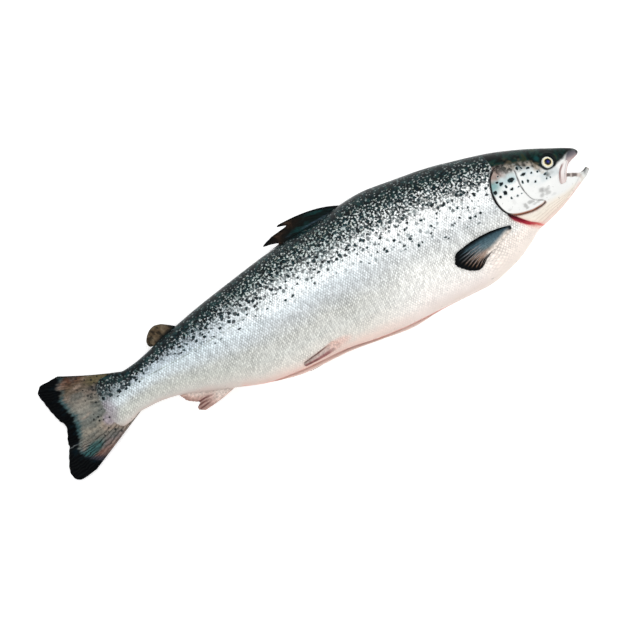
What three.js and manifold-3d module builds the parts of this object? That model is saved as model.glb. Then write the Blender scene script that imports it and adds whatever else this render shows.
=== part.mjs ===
// A whole gutted Atlantic salmon lying on its left side. Millimetres.
// +X runs to the head, +Y to the back, +Z up; the right flank is uppermost.
import * as THREE from 'three';
import { mergeVertices } from 'three/addons/utils/BufferGeometryUtils.js';
import Module from 'manifold-3d';

const wasm = await Module();
wasm.setup();

// Driving dimensions
const gap = 0.3;               // clearance between pieces that touch
const trunkStations = 54;      // rings along the trunk
const jawStations = 12;
const ringSides = 28;
const ringEasing = 0.45;       // 1 packs the rings towards both ends, 0 spaces them evenly
const thinnest = 0.4;          // half size of the smallest ring
const widestShift = 0.1;       // the widest line lies this far above mid height
const finThickness = 2;
const pairedFinThickness = 1.6;
const gillCover = { skin: 1.1, depth: 2.4, slit: 1.3, frontSlit: 0.9, rearOf: 270 };
const jawPlate = { thickness: 1.6 };
const eye = { x: 333, y: 12, radius: 8.4, depth: 6, proud: 1.4 };
const tongue = { x: 349, y: -13.2, length: 26, height: 6.2, width: 11 };
const mouth = { x: 352, y: -8, length: 48, height: 18, width: 18 };
const gillSlit = { width: 4.2, depth: 9, steps: 12, narrowest: 0.35 };
const bellySlit = { from: -136, to: 150, depth: 13, width: 2.2, aboveCentre: 1.6, steps: 24 };
const leftPectoralShift = -12; // the hidden fin shows less, so it sits lower
const leftPelvicHeight = 27;
const outside = { above: 120, below: -10, belly: -110, nearFlap: 60, cut: 6 }; // clear of every piece

// Profiles of the trunk and upper jaw as [x, value] pairs, tail to snout.
const backLine = [
  [-307, 0], [-305, 8], [-300, 18], [-290, 25], [-278, 25], [-260, 20.5], [-240, 23], [-200, 34],
  [-150, 46.5], [-80, 60.5], [-20, 70.5], [40, 75.5], [75, 82], [105, 84.5], [150, 80], [195, 74],
  [235, 65], [270, 56], [310, 41.5], [340, 28], [360, 18.5], [370, 12.5], [373, 8],
];
const bellyLine = [
  [-307, -14], [-305, -22], [-300, -34], [-290, -43], [-278, -41], [-260, -34.5], [-240, -34.3],
  [-210, -38.5], [-175, -51], [-140, -63.5], [-100, -76.5], [-50, -86], [0, -86.5], [50, -92],
  [90, -96.2], [135, -92.6], [195, -93], [240, -83], [287, -60], [315, -45], [335, -29], [345, -16],
  [352, -5], [361, 0.5], [369, 3.5], [373, 8],
];
const halfWidth = [
  [-307, 0.4], [-300, 1.8], [-290, 4.6], [-275, 9], [-260, 12.5], [-200, 20.5], [-150, 27.5],
  [-100, 34], [-50, 40], [0, 44.5], [50, 47], [100, 47.5], [140, 47], [180, 45.5], [220, 43],
  [270, 38.5], [310, 28.5], [340, 19.5], [360, 12], [370, 6.5], [373, 1],
];
const centreHeight = [
  [-375, 7], [-307, 10], [-260, 14.5], [-200, 23], [-150, 30], [-100, 36], [-50, 40.5], [0, 43],
  [60, 44.4], [120, 44.5], [180, 43.6], [250, 40.8], [310, 37.5], [345, 35], [376, 33],
];

// The lower jaw is a second, narrower hull joined to the trunk.
const jawTop = [[296, -36], [325, -20], [345, -12], [355, -14.2], [365, -17], [371, -15.5], [376.5, -18.5]];
const jawUnder = [[296, -56], [320, -48.5], [340, -40], [360, -30], [370, -25], [376.5, -20.5]];
const jawHalfWidth = [[296, 20], [320, 21.5], [340, 18], [355, 13.5], [368, 8.5], [374, 4.5], [376.5, 1]];

// The near belly flap ends a little above the far one.
const nearFlapEdge = [
  [-136, -61], [-120, -70.5], [-90, -76.5], [-50, -80], [0, -81.5], [50, -88.5], [90, -91], [150, -90.5],
];

// Outlines in the XY plane.
const outlines = {
  dorsalFin: [
    [78, 80], [74, 84.5], [60, 90], [40, 93.5], [15, 95.6], [-6, 95.4], [2, 89], [-18, 85.5],
    [-32, 79], [-14, 73], [0, 68], [40, 70], [60, 75],
  ],
  adiposeFin: [
    [-172, 36], [-174, 42], [-184, 47.5], [-195, 53], [-206, 51.5], [-215, 44], [-217, 35],
    [-210, 26], [-190, 30],
  ],
  tailFin: [
    [-268, 14], [-262, 21], [-285, 28.5], [-318, 45], [-336, 51.5], [-360, 51], [-366, 40],
    [-361, 12], [-354.5, -10], [-360, -30], [-372, -52], [-375.5, -70], [-368, -77.5], [-342, -73.5],
    [-305, -56], [-262, -35], [-270, -22],
  ],
  analFin: [
    [-138, -59], [-139, -64.5], [-165, -67], [-190, -70.5], [-194, -60], [-204, -50], [-210, -37],
    [-190, -38], [-160, -50],
  ],
  pelvicFin: [[-6, -66], [-28, -68.5], [-53, -73.5], [-52, -77], [-28, -79], [-5, -77.5]],
  pelvicFinLeft: [[-4, -70], [-4, -82], [-16, -86.5], [-48, -87.6], [-54, -84], [-40, -78], [-20, -72]],
  pectoralFin: [
    [254.5, -38], [232, -34.5], [205, -31.5], [184, -36], [172, -48], [181, -62], [196, -69.5],
    [209, -61], [228, -51], [254.5, -43.5],
  ],
  gillCover: [
    [283, 31.5], [268, 35], [257, 24.5], [251.3, 6], [251.5, -8], [258, -23], [269, -29.8],
    [288, -34], [302, -33], [307, -31], [306, -28.5], [299, -25], [291, -15], [288.7, 2], [290, 20],
  ],
  jawPlate: [[354, 4], [346, 1.5], [339, -6], [334, -18], [337.5, -22], [343.5, -18.5], [349, -8.5], [356.5, 0]],
};
const gillSlitPath = [[259, -26], [267, -35.5], [277, -45.5], [293, -55.5]];

// Curves and solids

// Smooth height through the pairs, without overshoot between them.
function smooth(pairs) {
  const slope = (i) => (pairs[i + 1][1] - pairs[i][1]) / (pairs[i + 1][0] - pairs[i][0]);
  const tangent = (i) => {
    if (i === 0) return slope(0);
    if (i === pairs.length - 1) return slope(i - 1);
    const before = slope(i - 1);
    const after = slope(i);
    return before * after <= 0 ? 0 : (2 * before * after) / (before + after);
  };
  return (x) => {
    if (x <= pairs[0][0]) return pairs[0][1];
    if (x >= pairs.at(-1)[0]) return pairs.at(-1)[1];
    const i = pairs.findIndex((p, k) => x < pairs[k + 1][0]);
    const span = pairs[i + 1][0] - pairs[i][0];
    const t = (x - pairs[i][0]) / span;
    const s = 1 - t;
    return pairs[i][1] * s * s * (1 + 2 * t) + pairs[i + 1][1] * t * t * (3 - 2 * t)
      + span * t * s * (s * tangent(i) - t * tangent(i + 1));
  };
}
const centre = smooth(centreHeight);
const nearEdge = smooth(nearFlapEdge);

function toSolid(geometry) {
  const bare = geometry.clone();
  bare.deleteAttribute('normal');
  bare.deleteAttribute('uv');
  const merged = mergeVertices(bare, 1e-4);
  return new wasm.Manifold(new wasm.Mesh({
    numProp: 3,
    vertProperties: merged.attributes.position.array,
    triVerts: new Uint32Array(merged.index.array),
  }));
}

function toGeometry(solid) {
  const mesh = solid.getMesh();
  const geometry = new THREE.BufferGeometry();
  geometry.setAttribute('position', new THREE.BufferAttribute(mesh.vertProperties, 3));
  geometry.setIndex(new THREE.BufferAttribute(mesh.triVerts, 1));
  geometry.computeVertexNormals();
  return geometry;
}

// Oval rings between two profile lines, flattened where they meet the surface they lie on.
function hull({ top, under, width, stations, first, last }, grow) {
  const points = [];
  const faces = [];
  for (let i = 0; i <= stations; i += 1) {
    const along = (1 - Math.cos((Math.PI * i) / stations)) / 2;
    const eased = THREE.MathUtils.lerp(i / stations, along, ringEasing);
    const x = THREE.MathUtils.lerp(first, last, eased);
    const middle = (top(x) + under(x)) / 2;
    const reach = Math.max((top(x) - under(x)) / 2, thinnest) + grow;
    const half = Math.max(width(x), thinnest) + grow;
    for (let k = 0; k < ringSides; k += 1) {
      const angle = (2 * Math.PI * k) / ringSides;
      const y = middle + reach * (Math.cos(angle) + widestShift * Math.sin(angle) ** 2);
      points.push(x, y, Math.max(centre(x) + half * Math.sin(angle), 0));
    }
  }
  const ends = [[first - grow, 0], [last + grow, stations]].map(([x, ring]) => {
    const at = ring === 0 ? first : last;
    points.push(x, (top(at) + under(at)) / 2, centre(at));
    return points.length / 3 - 1;
  });
  for (let k = 0; k < ringSides; k += 1) {
    const next = (k + 1) % ringSides;
    for (let i = 0; i < stations; i += 1) {
      const a = i * ringSides + k;
      const b = i * ringSides + next;
      faces.push(a, b, a + ringSides, b, b + ringSides, a + ringSides);
    }
    faces.push(ends[0], next, k);
    faces.push(ends[1], stations * ringSides + k, stations * ringSides + next);
  }
  const geometry = new THREE.BufferGeometry();
  geometry.setAttribute('position', new THREE.Float32BufferAttribute(points, 3));
  geometry.setIndex(faces);
  return toSolid(geometry);
}

const trunkLines = {
  top: smooth(backLine), under: smooth(bellyLine), width: smooth(halfWidth),
  stations: trunkStations, first: -307, last: 373,
};
const jawLines = {
  top: smooth(jawTop), under: smooth(jawUnder), width: smooth(jawHalfWidth),
  stations: jawStations, first: 296, last: 376.5,
};
const skin = (grow) => hull(trunkLines, grow).add(hull(jawLines, grow));

// A closed smooth outline as a plate between two heights.
function plate(outline, low, high, samples = 3 * outline.length) {
  const ring = new THREE.CatmullRomCurve3(
    outline.map(([x, y]) => new THREE.Vector3(x, y, 0)), true, 'centripetal');
  const shape = new THREE.Shape(ring.getSpacedPoints(samples).slice(0, -1)
    .map((p) => new THREE.Vector2(p.x, p.y)));
  const geometry = new THREE.ExtrudeGeometry(shape, { depth: high - low, bevelEnabled: false });
  return geometry.translate(0, 0, low);
}

// A clockwise or anticlockwise outline moved outwards by a distance that may vary along X.
function grown(outline, distance) {
  const area = outline.reduce((sum, [x, y], i) => {
    const [nextX, nextY] = outline[(i + 1) % outline.length];
    return sum + x * nextY - nextX * y;
  }, 0);
  return outline.map(([x, y], i) => {
    const [beforeX, beforeY] = outline.at(i - 1);
    const [afterX, afterY] = outline[(i + 1) % outline.length];
    const length = Math.hypot(afterX - beforeX, afterY - beforeY);
    const step = (Math.sign(area) * distance(x)) / length;
    return [x + (afterY - beforeY) * step, y - (afterX - beforeX) * step];
  });
}

// A plate in the fish's own middle plane, kept clear of the trunk.
function medianFin(outline, samples) {
  const geometry = plate(outline, -finThickness / 2, finThickness / 2, samples);
  const position = geometry.attributes.position;
  for (let i = 0; i < position.count; i += 1) {
    position.setZ(i, position.getZ(i) + centre(position.getX(i)));
  }
  return toSolid(geometry).subtract(skin(gap));
}

// A plate that follows one flank between two distances from the skin: side 1 is the right flank.
function flankPlate(outline, inner, outer, side) {
  const middle = centre(outline[0][0]);
  const block = side > 0
    ? plate(outline, middle, outside.above)
    : plate(outline, outside.below, middle);
  return skin(outer).subtract(skin(inner)).intersect(toSolid(block));
}

function ellipsoid(x, y, z, radii) {
  const ball = new THREE.SphereGeometry(1, 20, 12);
  ball.scale(...radii);
  return toSolid(ball.translate(x, y, z));
}

// A square cutter that runs along a path over one flank.
function slitCutter(path, width, depth, side) {
  const run = new THREE.CatmullRomCurve3(path.map(([x, y]) => new THREE.Vector3(x, y, 0)));
  const { steps, narrowest } = gillSlit;
  const spots = run.getSpacedPoints(steps);
  const left = [];
  const right = [];
  spots.forEach((p, i) => {
    const heading = run.getTangentAt(i / steps);
    const bulge = Math.sin((Math.PI * (i + 0.6)) / (steps + 1));
    const taper = width * THREE.MathUtils.lerp(narrowest, 1, bulge);
    left.push([p.x - (heading.y * taper) / 2, p.y + (heading.x * taper) / 2]);
    right.unshift([p.x + (heading.y * taper) / 2, p.y - (heading.x * taper) / 2]);
  });
  return flankPlate([...left, ...right], -depth, outside.cut, side);
}

// Pieces
const finColour = { olive: 0x3c3d33, slate: 0x4f5a5c, cream: 0xc9a994 };
const materials = {
  skin: new THREE.MeshStandardMaterial({ color: 0xb9bfbd, roughness: 0.32, metalness: 0.25 }),
  darkFin: new THREE.MeshStandardMaterial({ color: finColour.olive, roughness: 0.4, metalness: 0.05 }),
  tailFin: new THREE.MeshStandardMaterial({ color: finColour.slate, roughness: 0.4, metalness: 0.05 }),
  paleFin: new THREE.MeshStandardMaterial({ color: finColour.cream, roughness: 0.4, metalness: 0 }),
  gillCover: new THREE.MeshStandardMaterial({ color: 0xcfd2cc, roughness: 0.28, metalness: 0.3 }),
  eye: new THREE.MeshStandardMaterial({ color: 0xd8cfa0, roughness: 0.08, metalness: 0 }),
  mouthFlesh: new THREE.MeshStandardMaterial({ color: 0xd9b3a6, roughness: 0.35, metalness: 0 }),
};

const fish = new THREE.Group();

function add(name, solid, material) {
  const mesh = new THREE.Mesh(toGeometry(solid), material);
  mesh.name = name;
  fish.add(mesh);
}

// Height of the skin above or below the middle plane at a point of one flank.
function flankHeight(x, y, side) {
  const top = trunkLines.top(x);
  const under = trunkLines.under(x);
  const level = (y - (top + under) / 2) / ((top - under) / 2);
  const cosine = (1 - Math.sqrt(1 + 4 * widestShift * (widestShift - level))) / (2 * widestShift);
  return centre(x) + side * trunkLines.width(x) * Math.sqrt(Math.max(1 - cosine * cosine, 0));
}

const sides = { right: 1, left: -1 };
let body = skin(0);

// Belly: a slit along the middle, and the near flap trimmed back from it.
function bellyCutter(fromEdge, low, high) {
  const { steps } = bellySlit;
  const corners = [];
  const faces = [];
  for (let i = 0; i <= steps; i += 1) {
    const x = THREE.MathUtils.lerp(bellySlit.from, bellySlit.to, i / steps);
    const ends = Math.sin((Math.PI * (i + 0.25)) / (steps + 0.5)) ** 0.4;
    const inner = nearEdge(x) + fromEdge * ends;
    const z = centre(x);
    corners.push(x, outside.belly, z + low, x, inner, z + low);
    corners.push(x, inner, z + high, x, outside.belly, z + high);
    if (i === 0) continue;
    const a = 4 * (i - 1);
    for (let k = 0; k < 4; k += 1) {
      const n = (k + 1) % 4;
      faces.push(a + k, a + n, a + 4 + k, a + n, a + 4 + n, a + 4 + k);
    }
  }
  const end = 4 * steps;
  faces.push(0, 2, 1, 0, 3, 2, end, end + 1, end + 2, end, end + 2, end + 3);
  const geometry = new THREE.BufferGeometry();
  geometry.setAttribute('position', new THREE.Float32BufferAttribute(corners, 3));
  geometry.setIndex(faces);
  return toSolid(geometry);
}
body = body
  .subtract(bellyCutter(0, bellySlit.aboveCentre, outside.nearFlap))
  .subtract(bellyCutter(bellySlit.depth, bellySlit.aboveCentre - bellySlit.width / 2,
    bellySlit.aboveCentre + bellySlit.width / 2));

// Mouth and tongue.
const mouthHollow = ellipsoid(mouth.x, mouth.y, centre(mouth.x),
  [mouth.length / 2, mouth.height / 2, mouth.width / 2]);
body = body.subtract(mouthHollow);
add('tongue', ellipsoid(tongue.x, tongue.y, centre(tongue.x),
  [tongue.length / 2, tongue.height / 2, tongue.width / 2]), materials.mouthFlesh);

// Each flank's eye, gill cover, jaw plate and paired fins.
for (const [side, sign] of Object.entries(sides)) {
  const eyeHeight = flankHeight(eye.x, eye.y, sign) - sign * (eye.depth - eye.proud);
  const eyeRadii = [eye.radius, eye.radius, eye.depth];
  add(`eye_${side}`, ellipsoid(eye.x, eye.y, eyeHeight, eyeRadii), materials.eye);
  body = body.subtract(ellipsoid(eye.x, eye.y, eyeHeight, eyeRadii.map((r) => r + gap)));

  const cover = outlines.gillCover;
  const recess = grown(cover, (x) => (x < gillCover.rearOf ? gillCover.slit : gillCover.frontSlit));
  add(`gill_cover_${side}`, flankPlate(cover, -gillCover.depth, gillCover.skin, sign),
    materials.gillCover);
  body = body.subtract(flankPlate(recess, -gillCover.depth - gap, outside.cut, sign));
  body = body.subtract(slitCutter(gillSlitPath, gillSlit.width, gillSlit.depth, sign));

  const jaw = flankPlate(outlines.jawPlate, gap, gap + jawPlate.thickness, sign);
  add(`jaw_plate_${side}`, jaw.subtract(mouthHollow), materials.skin);
  const shift = sign > 0 ? 0 : leftPectoralShift;
  const pectoral = outlines.pectoralFin.map(([x, y]) => [x, y + shift]);
  add(`pectoral_fin_${side}`, flankPlate(pectoral, gap, gap + pairedFinThickness, sign),
    materials.tailFin);
}
add('pelvic_fin_right', flankPlate(outlines.pelvicFin, gap, gap + pairedFinThickness, 1),
  materials.paleFin);

// The left pelvic fin is pressed back under the belly and shows along its edge.
const leftPelvic = toSolid(
  plate(outlines.pelvicFinLeft, leftPelvicHeight, leftPelvicHeight + pairedFinThickness));
add('pelvic_fin_left', leftPelvic.subtract(skin(gap)), materials.paleFin);

add('dorsal_fin', medianFin(outlines.dorsalFin), materials.darkFin);
add('adipose_fin', medianFin(outlines.adiposeFin), materials.darkFin);
add('tail_fin', medianFin(outlines.tailFin, 60), materials.tailFin);
add('anal_fin', medianFin(outlines.analFin), materials.paleFin);
add('body', body, materials.skin);

// The origin is the middle of the whole fish's footprint, on the surface it lies on.
const box = new THREE.Box3().setFromObject(fish);
fish.position.set(-(box.min.x + box.max.x) / 2, -(box.min.y + box.max.y) / 2, -box.min.z);

export default fish;
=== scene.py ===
import math

import bpy
import numpy as np
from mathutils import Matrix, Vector


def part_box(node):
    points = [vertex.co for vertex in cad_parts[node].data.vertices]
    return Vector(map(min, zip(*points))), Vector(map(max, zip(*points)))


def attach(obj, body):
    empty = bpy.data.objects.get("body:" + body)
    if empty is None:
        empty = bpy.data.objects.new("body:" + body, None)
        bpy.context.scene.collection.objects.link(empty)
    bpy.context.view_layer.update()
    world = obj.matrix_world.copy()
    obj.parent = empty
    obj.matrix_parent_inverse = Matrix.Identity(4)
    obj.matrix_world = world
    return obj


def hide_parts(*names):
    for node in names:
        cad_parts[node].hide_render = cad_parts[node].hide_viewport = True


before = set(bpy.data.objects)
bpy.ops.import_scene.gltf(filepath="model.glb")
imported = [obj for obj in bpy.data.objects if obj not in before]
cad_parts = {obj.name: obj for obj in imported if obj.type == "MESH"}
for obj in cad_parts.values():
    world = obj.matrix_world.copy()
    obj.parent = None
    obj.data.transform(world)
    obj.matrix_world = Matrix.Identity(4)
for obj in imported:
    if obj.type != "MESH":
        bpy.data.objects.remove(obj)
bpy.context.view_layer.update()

mm = 0.001
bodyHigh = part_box("body")[1]
# The fish's own zero, in mm from the jaw tip and from the top of the back.
reachOf = {"jaw": 376.5, "back": 84.3}
home = np.array([bodyHigh.x - reachOf["jaw"] * mm, bodyHigh.y - reachOf["back"] * mm, 0.0])


# numbers and curves

def ramp(value, low, high):
    t = np.clip((np.asarray(value, float) - low) / (high - low), 0, 1)
    return t * t * (3 - 2 * t)


def fall(value, low, high):
    return 1 - ramp(value, low, high)


def hill(value, middle, width):
    return np.exp(-((value - middle) / width) ** 2)


def oval(x, y, middle, reach):
    # 0 in the middle of an oval, 1 on its edge.
    return np.hypot((x - middle[0]) / reach[0], (y - middle[1]) / reach[1])


def blend(a, b, amount):
    return a + (b - a) * amount


def curveThrough(pairs):
    xs, ys = np.array(pairs, float).T
    slopes = np.diff(ys) / np.diff(xs)
    product = slopes[:-1] * slopes[1:]
    inner = np.where(product > 0, 2 * product / np.where(product > 0, slopes[:-1] + slopes[1:], 1), 0)
    tangents = np.concatenate([slopes[:1], inner, slopes[-1:]])

    def value(x):
        x = np.clip(np.asarray(x, float), xs[0], xs[-1])
        i = np.clip(np.searchsorted(xs, x, side="right") - 1, 0, len(xs) - 2)
        span = xs[i + 1] - xs[i]
        t = (x - xs[i]) / span
        s = 1 - t
        return (ys[i] * s * s * (1 + 2 * t) + ys[i + 1] * t * t * (3 - 2 * t)
                + span * t * s * (s * tangents[i] - t * tangents[i + 1]))
    return value


def pathThrough(points, count, closed=False):
    # Catmull-Rom through given points, then spaced evenly along its length.
    p = np.array(points, float)
    ends = [p[-1:], p, p[:2]] if closed else [2 * p[:1] - p[1:2], p, 2 * p[-1:] - p[-2:-1]]
    q = np.concatenate(ends)
    t = np.linspace(0, 1, 16, endpoint=False)[:, None]
    runs = []
    for i in range(len(q) - 3):
        a, b, c, d = q[i:i + 4]
        runs.append(0.5 * (2 * b + (c - a) * t + (2 * a - 5 * b + 4 * c - d) * t ** 2
                           + (3 * b - a - 3 * c + d) * t ** 3))
    line = np.concatenate([*runs, q[-2:-1]])
    along = np.concatenate([[0], np.cumsum(np.linalg.norm(np.diff(line, axis=0), axis=1))])
    spots = np.linspace(0, along[-1], count)
    return np.stack([np.interp(spots, along, line[:, k]) for k in range(line.shape[1])], 1)


def distanceTo(x, y, line):
    # Distance from each point to a line of short pieces, and how far along it the nearest place is.
    x, y = np.broadcast_arrays(np.asarray(x, float), np.asarray(y, float))
    best = np.full(x.shape, 1e9)
    where = np.zeros(x.shape)
    for i in range(len(line) - 1):
        ax, ay = line[i]
        dx, dy = line[i + 1] - line[i]
        t = np.clip(((x - ax) * dx + (y - ay) * dy) / (dx * dx + dy * dy + 1e-12), 0, 1)
        d = np.hypot(x - ax - t * dx, y - ay - t * dy)
        near = d < best
        best = np.where(near, d, best)
        where = np.where(near, (i + t) / (len(line) - 1), where)
    return best, where


def insideOf(x, y, line):
    # Positive inside a closed line, negative outside, in mm.
    distance, _ = distanceTo(x, y, line)
    inside = np.zeros(distance.shape, bool)
    for i in range(len(line) - 1):
        (ax, ay), (bx, by) = line[i], line[i + 1]
        if ay == by:
            continue
        crosses = ((ay > y) != (by > y)) & (x < (bx - ax) * (y - ay) / (by - ay) + ax)
        inside ^= crosses
    return np.where(inside, distance, -distance)


def wander(x, y, size, seed, octaves=3):
    # Smooth value noise from -1 to 1, the same on every run.
    total = np.zeros(np.broadcast(x, y).shape)
    weight = 0.0
    for octave in range(octaves):
        scale = size / 2 ** octave
        u, v = np.asarray(x) / scale + 37.7 * octave, np.asarray(y) / scale + 11.3 * octave
        iu, iv = np.floor(u), np.floor(v)
        fu, fv = u - iu, v - iv
        fu, fv = fu * fu * (3 - 2 * fu), fv * fv * (3 - 2 * fv)

        def corner(a, b):
            h = np.sin(a * 127.1 + b * 311.7 + seed * 74.7) * 43758.5453
            return 2 * (h - np.floor(h)) - 1
        low = blend(corner(iu, iv), corner(iu + 1, iv), fu)
        high = blend(corner(iu, iv + 1), corner(iu + 1, iv + 1), fu)
        total += blend(low, high, fv) / 2 ** octave
        weight += 1 / 2 ** octave
    return total / weight


def linear(r, g, b):
    c = np.array([r, g, b], float) / 255
    return np.where(c <= 0.04045, c / 12.92, ((c + 0.055) / 1.055) ** 2.4)


def ladder(value, steps):
    # Colour from a list of (value, (r, g, b)) steps.
    places = [s[0] for s in steps]
    colours = np.array([linear(*s[1]) for s in steps])
    return np.stack([np.interp(value, places, colours[:, k]) for k in range(3)], -1)


def paint(under, colour, amount):
    return blend(under, linear(*colour), np.asarray(amount)[..., None])


# the fish's shape, in mm

shape = {
    "back": [(-307, 0), (-305, 8), (-300, 18), (-290, 25), (-278, 25), (-260, 20.5), (-240, 23),
             (-200, 34), (-150, 46.5), (-80, 60.5), (-20, 70.5), (40, 75.5), (75, 82), (105, 84.5),
             (150, 80), (195, 74), (235, 65), (270, 56), (310, 41.5), (340, 28), (360, 18.5),
             (370, 12.5), (373.4, 7.5), (375, -6), (376.5, -18.5)],
    "belly": [(-307, -14), (-305, -22), (-300, -34), (-290, -43), (-278, -41), (-260, -34.5),
              (-240, -34.3), (-210, -38.5), (-175, -51), (-140, -63.5), (-100, -76.5), (-50, -86),
              (0, -86.5), (50, -92), (90, -96.2), (135, -92.6), (195, -93), (240, -83), (270, -68.5),
              (287, -58.5), (300, -54.8), (320, -48.5), (340, -40), (360, -30), (370, -25),
              (376.5, -19.5)],
    "halfWidth": [(-307, 0.5), (-300, 1.8), (-290, 4.6), (-275, 9), (-260, 12.5), (-200, 20.5),
                  (-150, 27.5), (-100, 34), (-50, 40), (0, 44.5), (50, 47), (100, 47.5), (140, 47),
                  (180, 45.5), (220, 43), (270, 38.5), (310, 28.5), (340, 20.5), (360, 13.5),
                  (370, 8.5), (374, 5), (376.5, 1.2)],
    "centre": [(-376, 7), (-307, 10), (-260, 14.5), (-200, 23), (-150, 30), (-100, 36), (-50, 40.5),
               (0, 43), (60, 44.4), (120, 44.5), (180, 43.6), (250, 40.8), (310, 37.5), (345, 35),
               (377, 33)],
    "widestShift": 0.1,
    "headSquareness": 0.14,
    "nearFlap": [(-136, -61.5), (-120, -70.5), (-90, -76.8), (-50, -80.3), (0, -81.5), (50, -88.3),
                 (90, -91), (150, -91.5)],
    "slitFrom": -138, "slitTo": 150,
}
backLine = curveThrough(shape["back"])
bellyLine = curveThrough(shape["belly"])
halfWidth = curveThrough(shape["halfWidth"])
centre = curveThrough(shape["centre"])
nearFlap = curveThrough(shape["nearFlap"])


def section(x, angle):
    # A point of the skin: angle 0 on the back, pi on the belly, negative on the left flank.
    top, under = backLine(x), bellyLine(x)
    reach = np.maximum((top - under) / 2, 0.35)
    square = 1 - shape["headSquareness"] * ramp(x, 235, 300)
    y = (top + under) / 2 + reach * (np.cos(angle) + shape["widestShift"] * np.sin(angle) ** 2)
    s = np.sin(angle)
    return y, halfWidth(x) * np.sign(s) * np.abs(s) ** square


def angleAt(x, y):
    top, under = backLine(x), bellyLine(x)
    k = shape["widestShift"]
    level = np.clip((y - (top + under) / 2) / np.maximum((top - under) / 2, 0.35), -1, 1)
    return np.arccos(np.clip((1 - np.sqrt(1 - 4 * k * (level - k))) / (2 * k), -1, 1))


def rest(z):
    # The lower flank is pressed flat by the fish's weight.
    return 0.5 * (z + np.sqrt(z * z + 1.2 ** 2))


def skinPoint(x, y, side, lift=0.0):
    # A point over the flank at (x, y), side 1 for the right flank and -1 for the left.
    angle = angleAt(x, y)
    _, z = section(x, angle)
    return rest(centre(x) + side * (z + lift))


def levelAt(x, y):
    # -1 at the belly, 0 at the widest line, 1 at the back.
    top, under = backLine(x), bellyLine(x)
    widest = (top + under) / 2 + shape["widestShift"] * (top - under) / 2
    above = (y - widest) / np.maximum(top - widest, 0.5)
    below = (y - widest) / np.maximum(widest - under, 0.5)
    return np.clip(np.where(y > widest, above, below), -1, 1)


# Distance round the flank, so that patterns keep their size where the flank turns away.
girth = {"x": np.linspace(-308, 377, 686), "angle": np.linspace(0, math.pi, 181)}


def measureGirth():
    x, angle = np.meshgrid(girth["x"], girth["angle"], indexing="ij")
    y, z = section(x, angle)
    steps = np.hypot(np.diff(y, axis=1), np.diff(z, axis=1))
    run = np.concatenate([np.zeros((len(x), 1)), np.cumsum(steps, axis=1)], axis=1)
    half = len(girth["angle"]) // 2
    return run[:, half:half + 1] - run + y[:, half:half + 1]


girth["round"] = measureGirth()
lateralLine = curveThrough([(-300, -1), (-240, 0.5), (-200, 1.2), (-150, 4), (-120, 7), (-80, 12),
                            (0, 17), (100, 22), (250, 29)])
dorsalFold = pathThrough([(-28, 68.6), (0, 70), (20, 71.8), (40, 73.5), (60, 77.6), (76, 80.8)], 40)


def roundAt(x, angle):
    # Looks the distance up between its samples.
    table = girth["round"]
    lastX, lastAngle = table.shape[0] - 1, table.shape[1] - 1
    u = np.clip(np.asarray(x, float) - girth["x"][0], 0, lastX - 0.001)
    v = np.clip(np.abs(angle) / math.pi * lastAngle, 0, lastAngle - 0.001)
    i, j = u.astype(int), v.astype(int)
    near = blend(table[i, j], table[i + 1, j], u - i)
    return blend(near, blend(table[i, j + 1], table[i + 1, j + 1], u - i), v - j)


# lines on the head

head = {
    "cover": [(283, 32), (268, 35), (257.5, 25), (251.8, 8), (251.3, -6), (257, -21), (268, -29.5),
              (288, -33.8), (303, -33), (308, -31), (304, -27.5), (296, -23.5), (291, -14),
              (288.8, 0), (289.5, 16), (288, 26)],
    "rearEdge": [(285, 31.5), (274, 34.8), (266, 33), (257.5, 25), (251.8, 8), (251.3, -6),
                 (257, -21), (268, -29.5), (288, -33.8), (303, -33), (307, -31.5)],
    "crease": [(290, 21), (290.3, 18), (289, 10), (288.6, 0), (289.6, -9), (292, -17), (296, -22),
               (301, -25.5), (307, -28.5)],
    "gillSlit": [(258, -24.5), (263, -31), (270, -39), (279, -47.5), (287, -53), (293, -56)],
    "scaleEdge": [(-62, 294), (-50, 283), (-40, 272), (-30, 262), (-22, 256.5), (-8, 251.2),
                  (8, 251.6), (20, 255.3), (30, 261.5), (38, 266), (60, 262)],
    "darkEdge": [(240, 46), (262, 38), (276, 34), (292, 29), (306, 24.5), (314, 20), (320, 11),
                 (325, 4), (333, 1), (341, 3.6), (350, 5.5), (356, 7.5), (361, 9), (367, 9.6),
                 (371, 7), (373, 4)],
    "upperLip": [(373.4, 7.5), (371.2, 4.4), (366, 2.3), (361, 0.8), (356, -1.4), (352, -5),
                 (349, -8.5), (346.6, -11.2)],
    "lowerLip": [(346.6, -11.2), (350, -12), (355, -14), (360, -16.4), (365, -17.9), (369, -16.9),
                 (372, -16.1), (375, -17.2), (376.45, -19.2)],
    "gum": [(347, -12.5), (351, -15), (356, -17.5), (361, -20.5)],
    "coverGrooveBelow": [(268, -31), (290, -35.5), (312, -33), (332, -33), (352, -29)],
    "eye": (333, 12),
    "nostrils": [(350.5, 14.5), (353.6, 13.8)],
    "snoutTop": [(352, 5), (356, 7.5), (359, 11), (364, 13), (368, 12), (371, 9), (373, 4.5)],
    "greyPatches": [(309, -16, 5, 4.5, 0.62), (315, -18, 6, 4.5, 0.55), (307, -22, 4, 3.5, 0.55),
                    (316, -23, 5, 3, 0.45), (283, -24, 3, 4, 0.6), (291, -23, 5, 3, 0.6),
                    (284, -28, 2.5, 2, 0.5), (297, -27, 6, 2, 0.4), (263, -20, 4, 1.5, 0.25),
                    (272, -14, 3, 4, 0.12), (330, -2, 7, 3, 0.3), (322, -27, 4, 2, 0.2)],
    "hingeAngle": 1.78, "cutNormal": (0.67, 0.74), "throatFolds": 5.5,
}
coverLine = pathThrough(head["cover"], 90, closed=True)
rearEdge = pathThrough(head["rearEdge"], 90)
lowerEdge = rearEdge[58:]
crease = pathThrough(head["crease"], 60)
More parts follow.
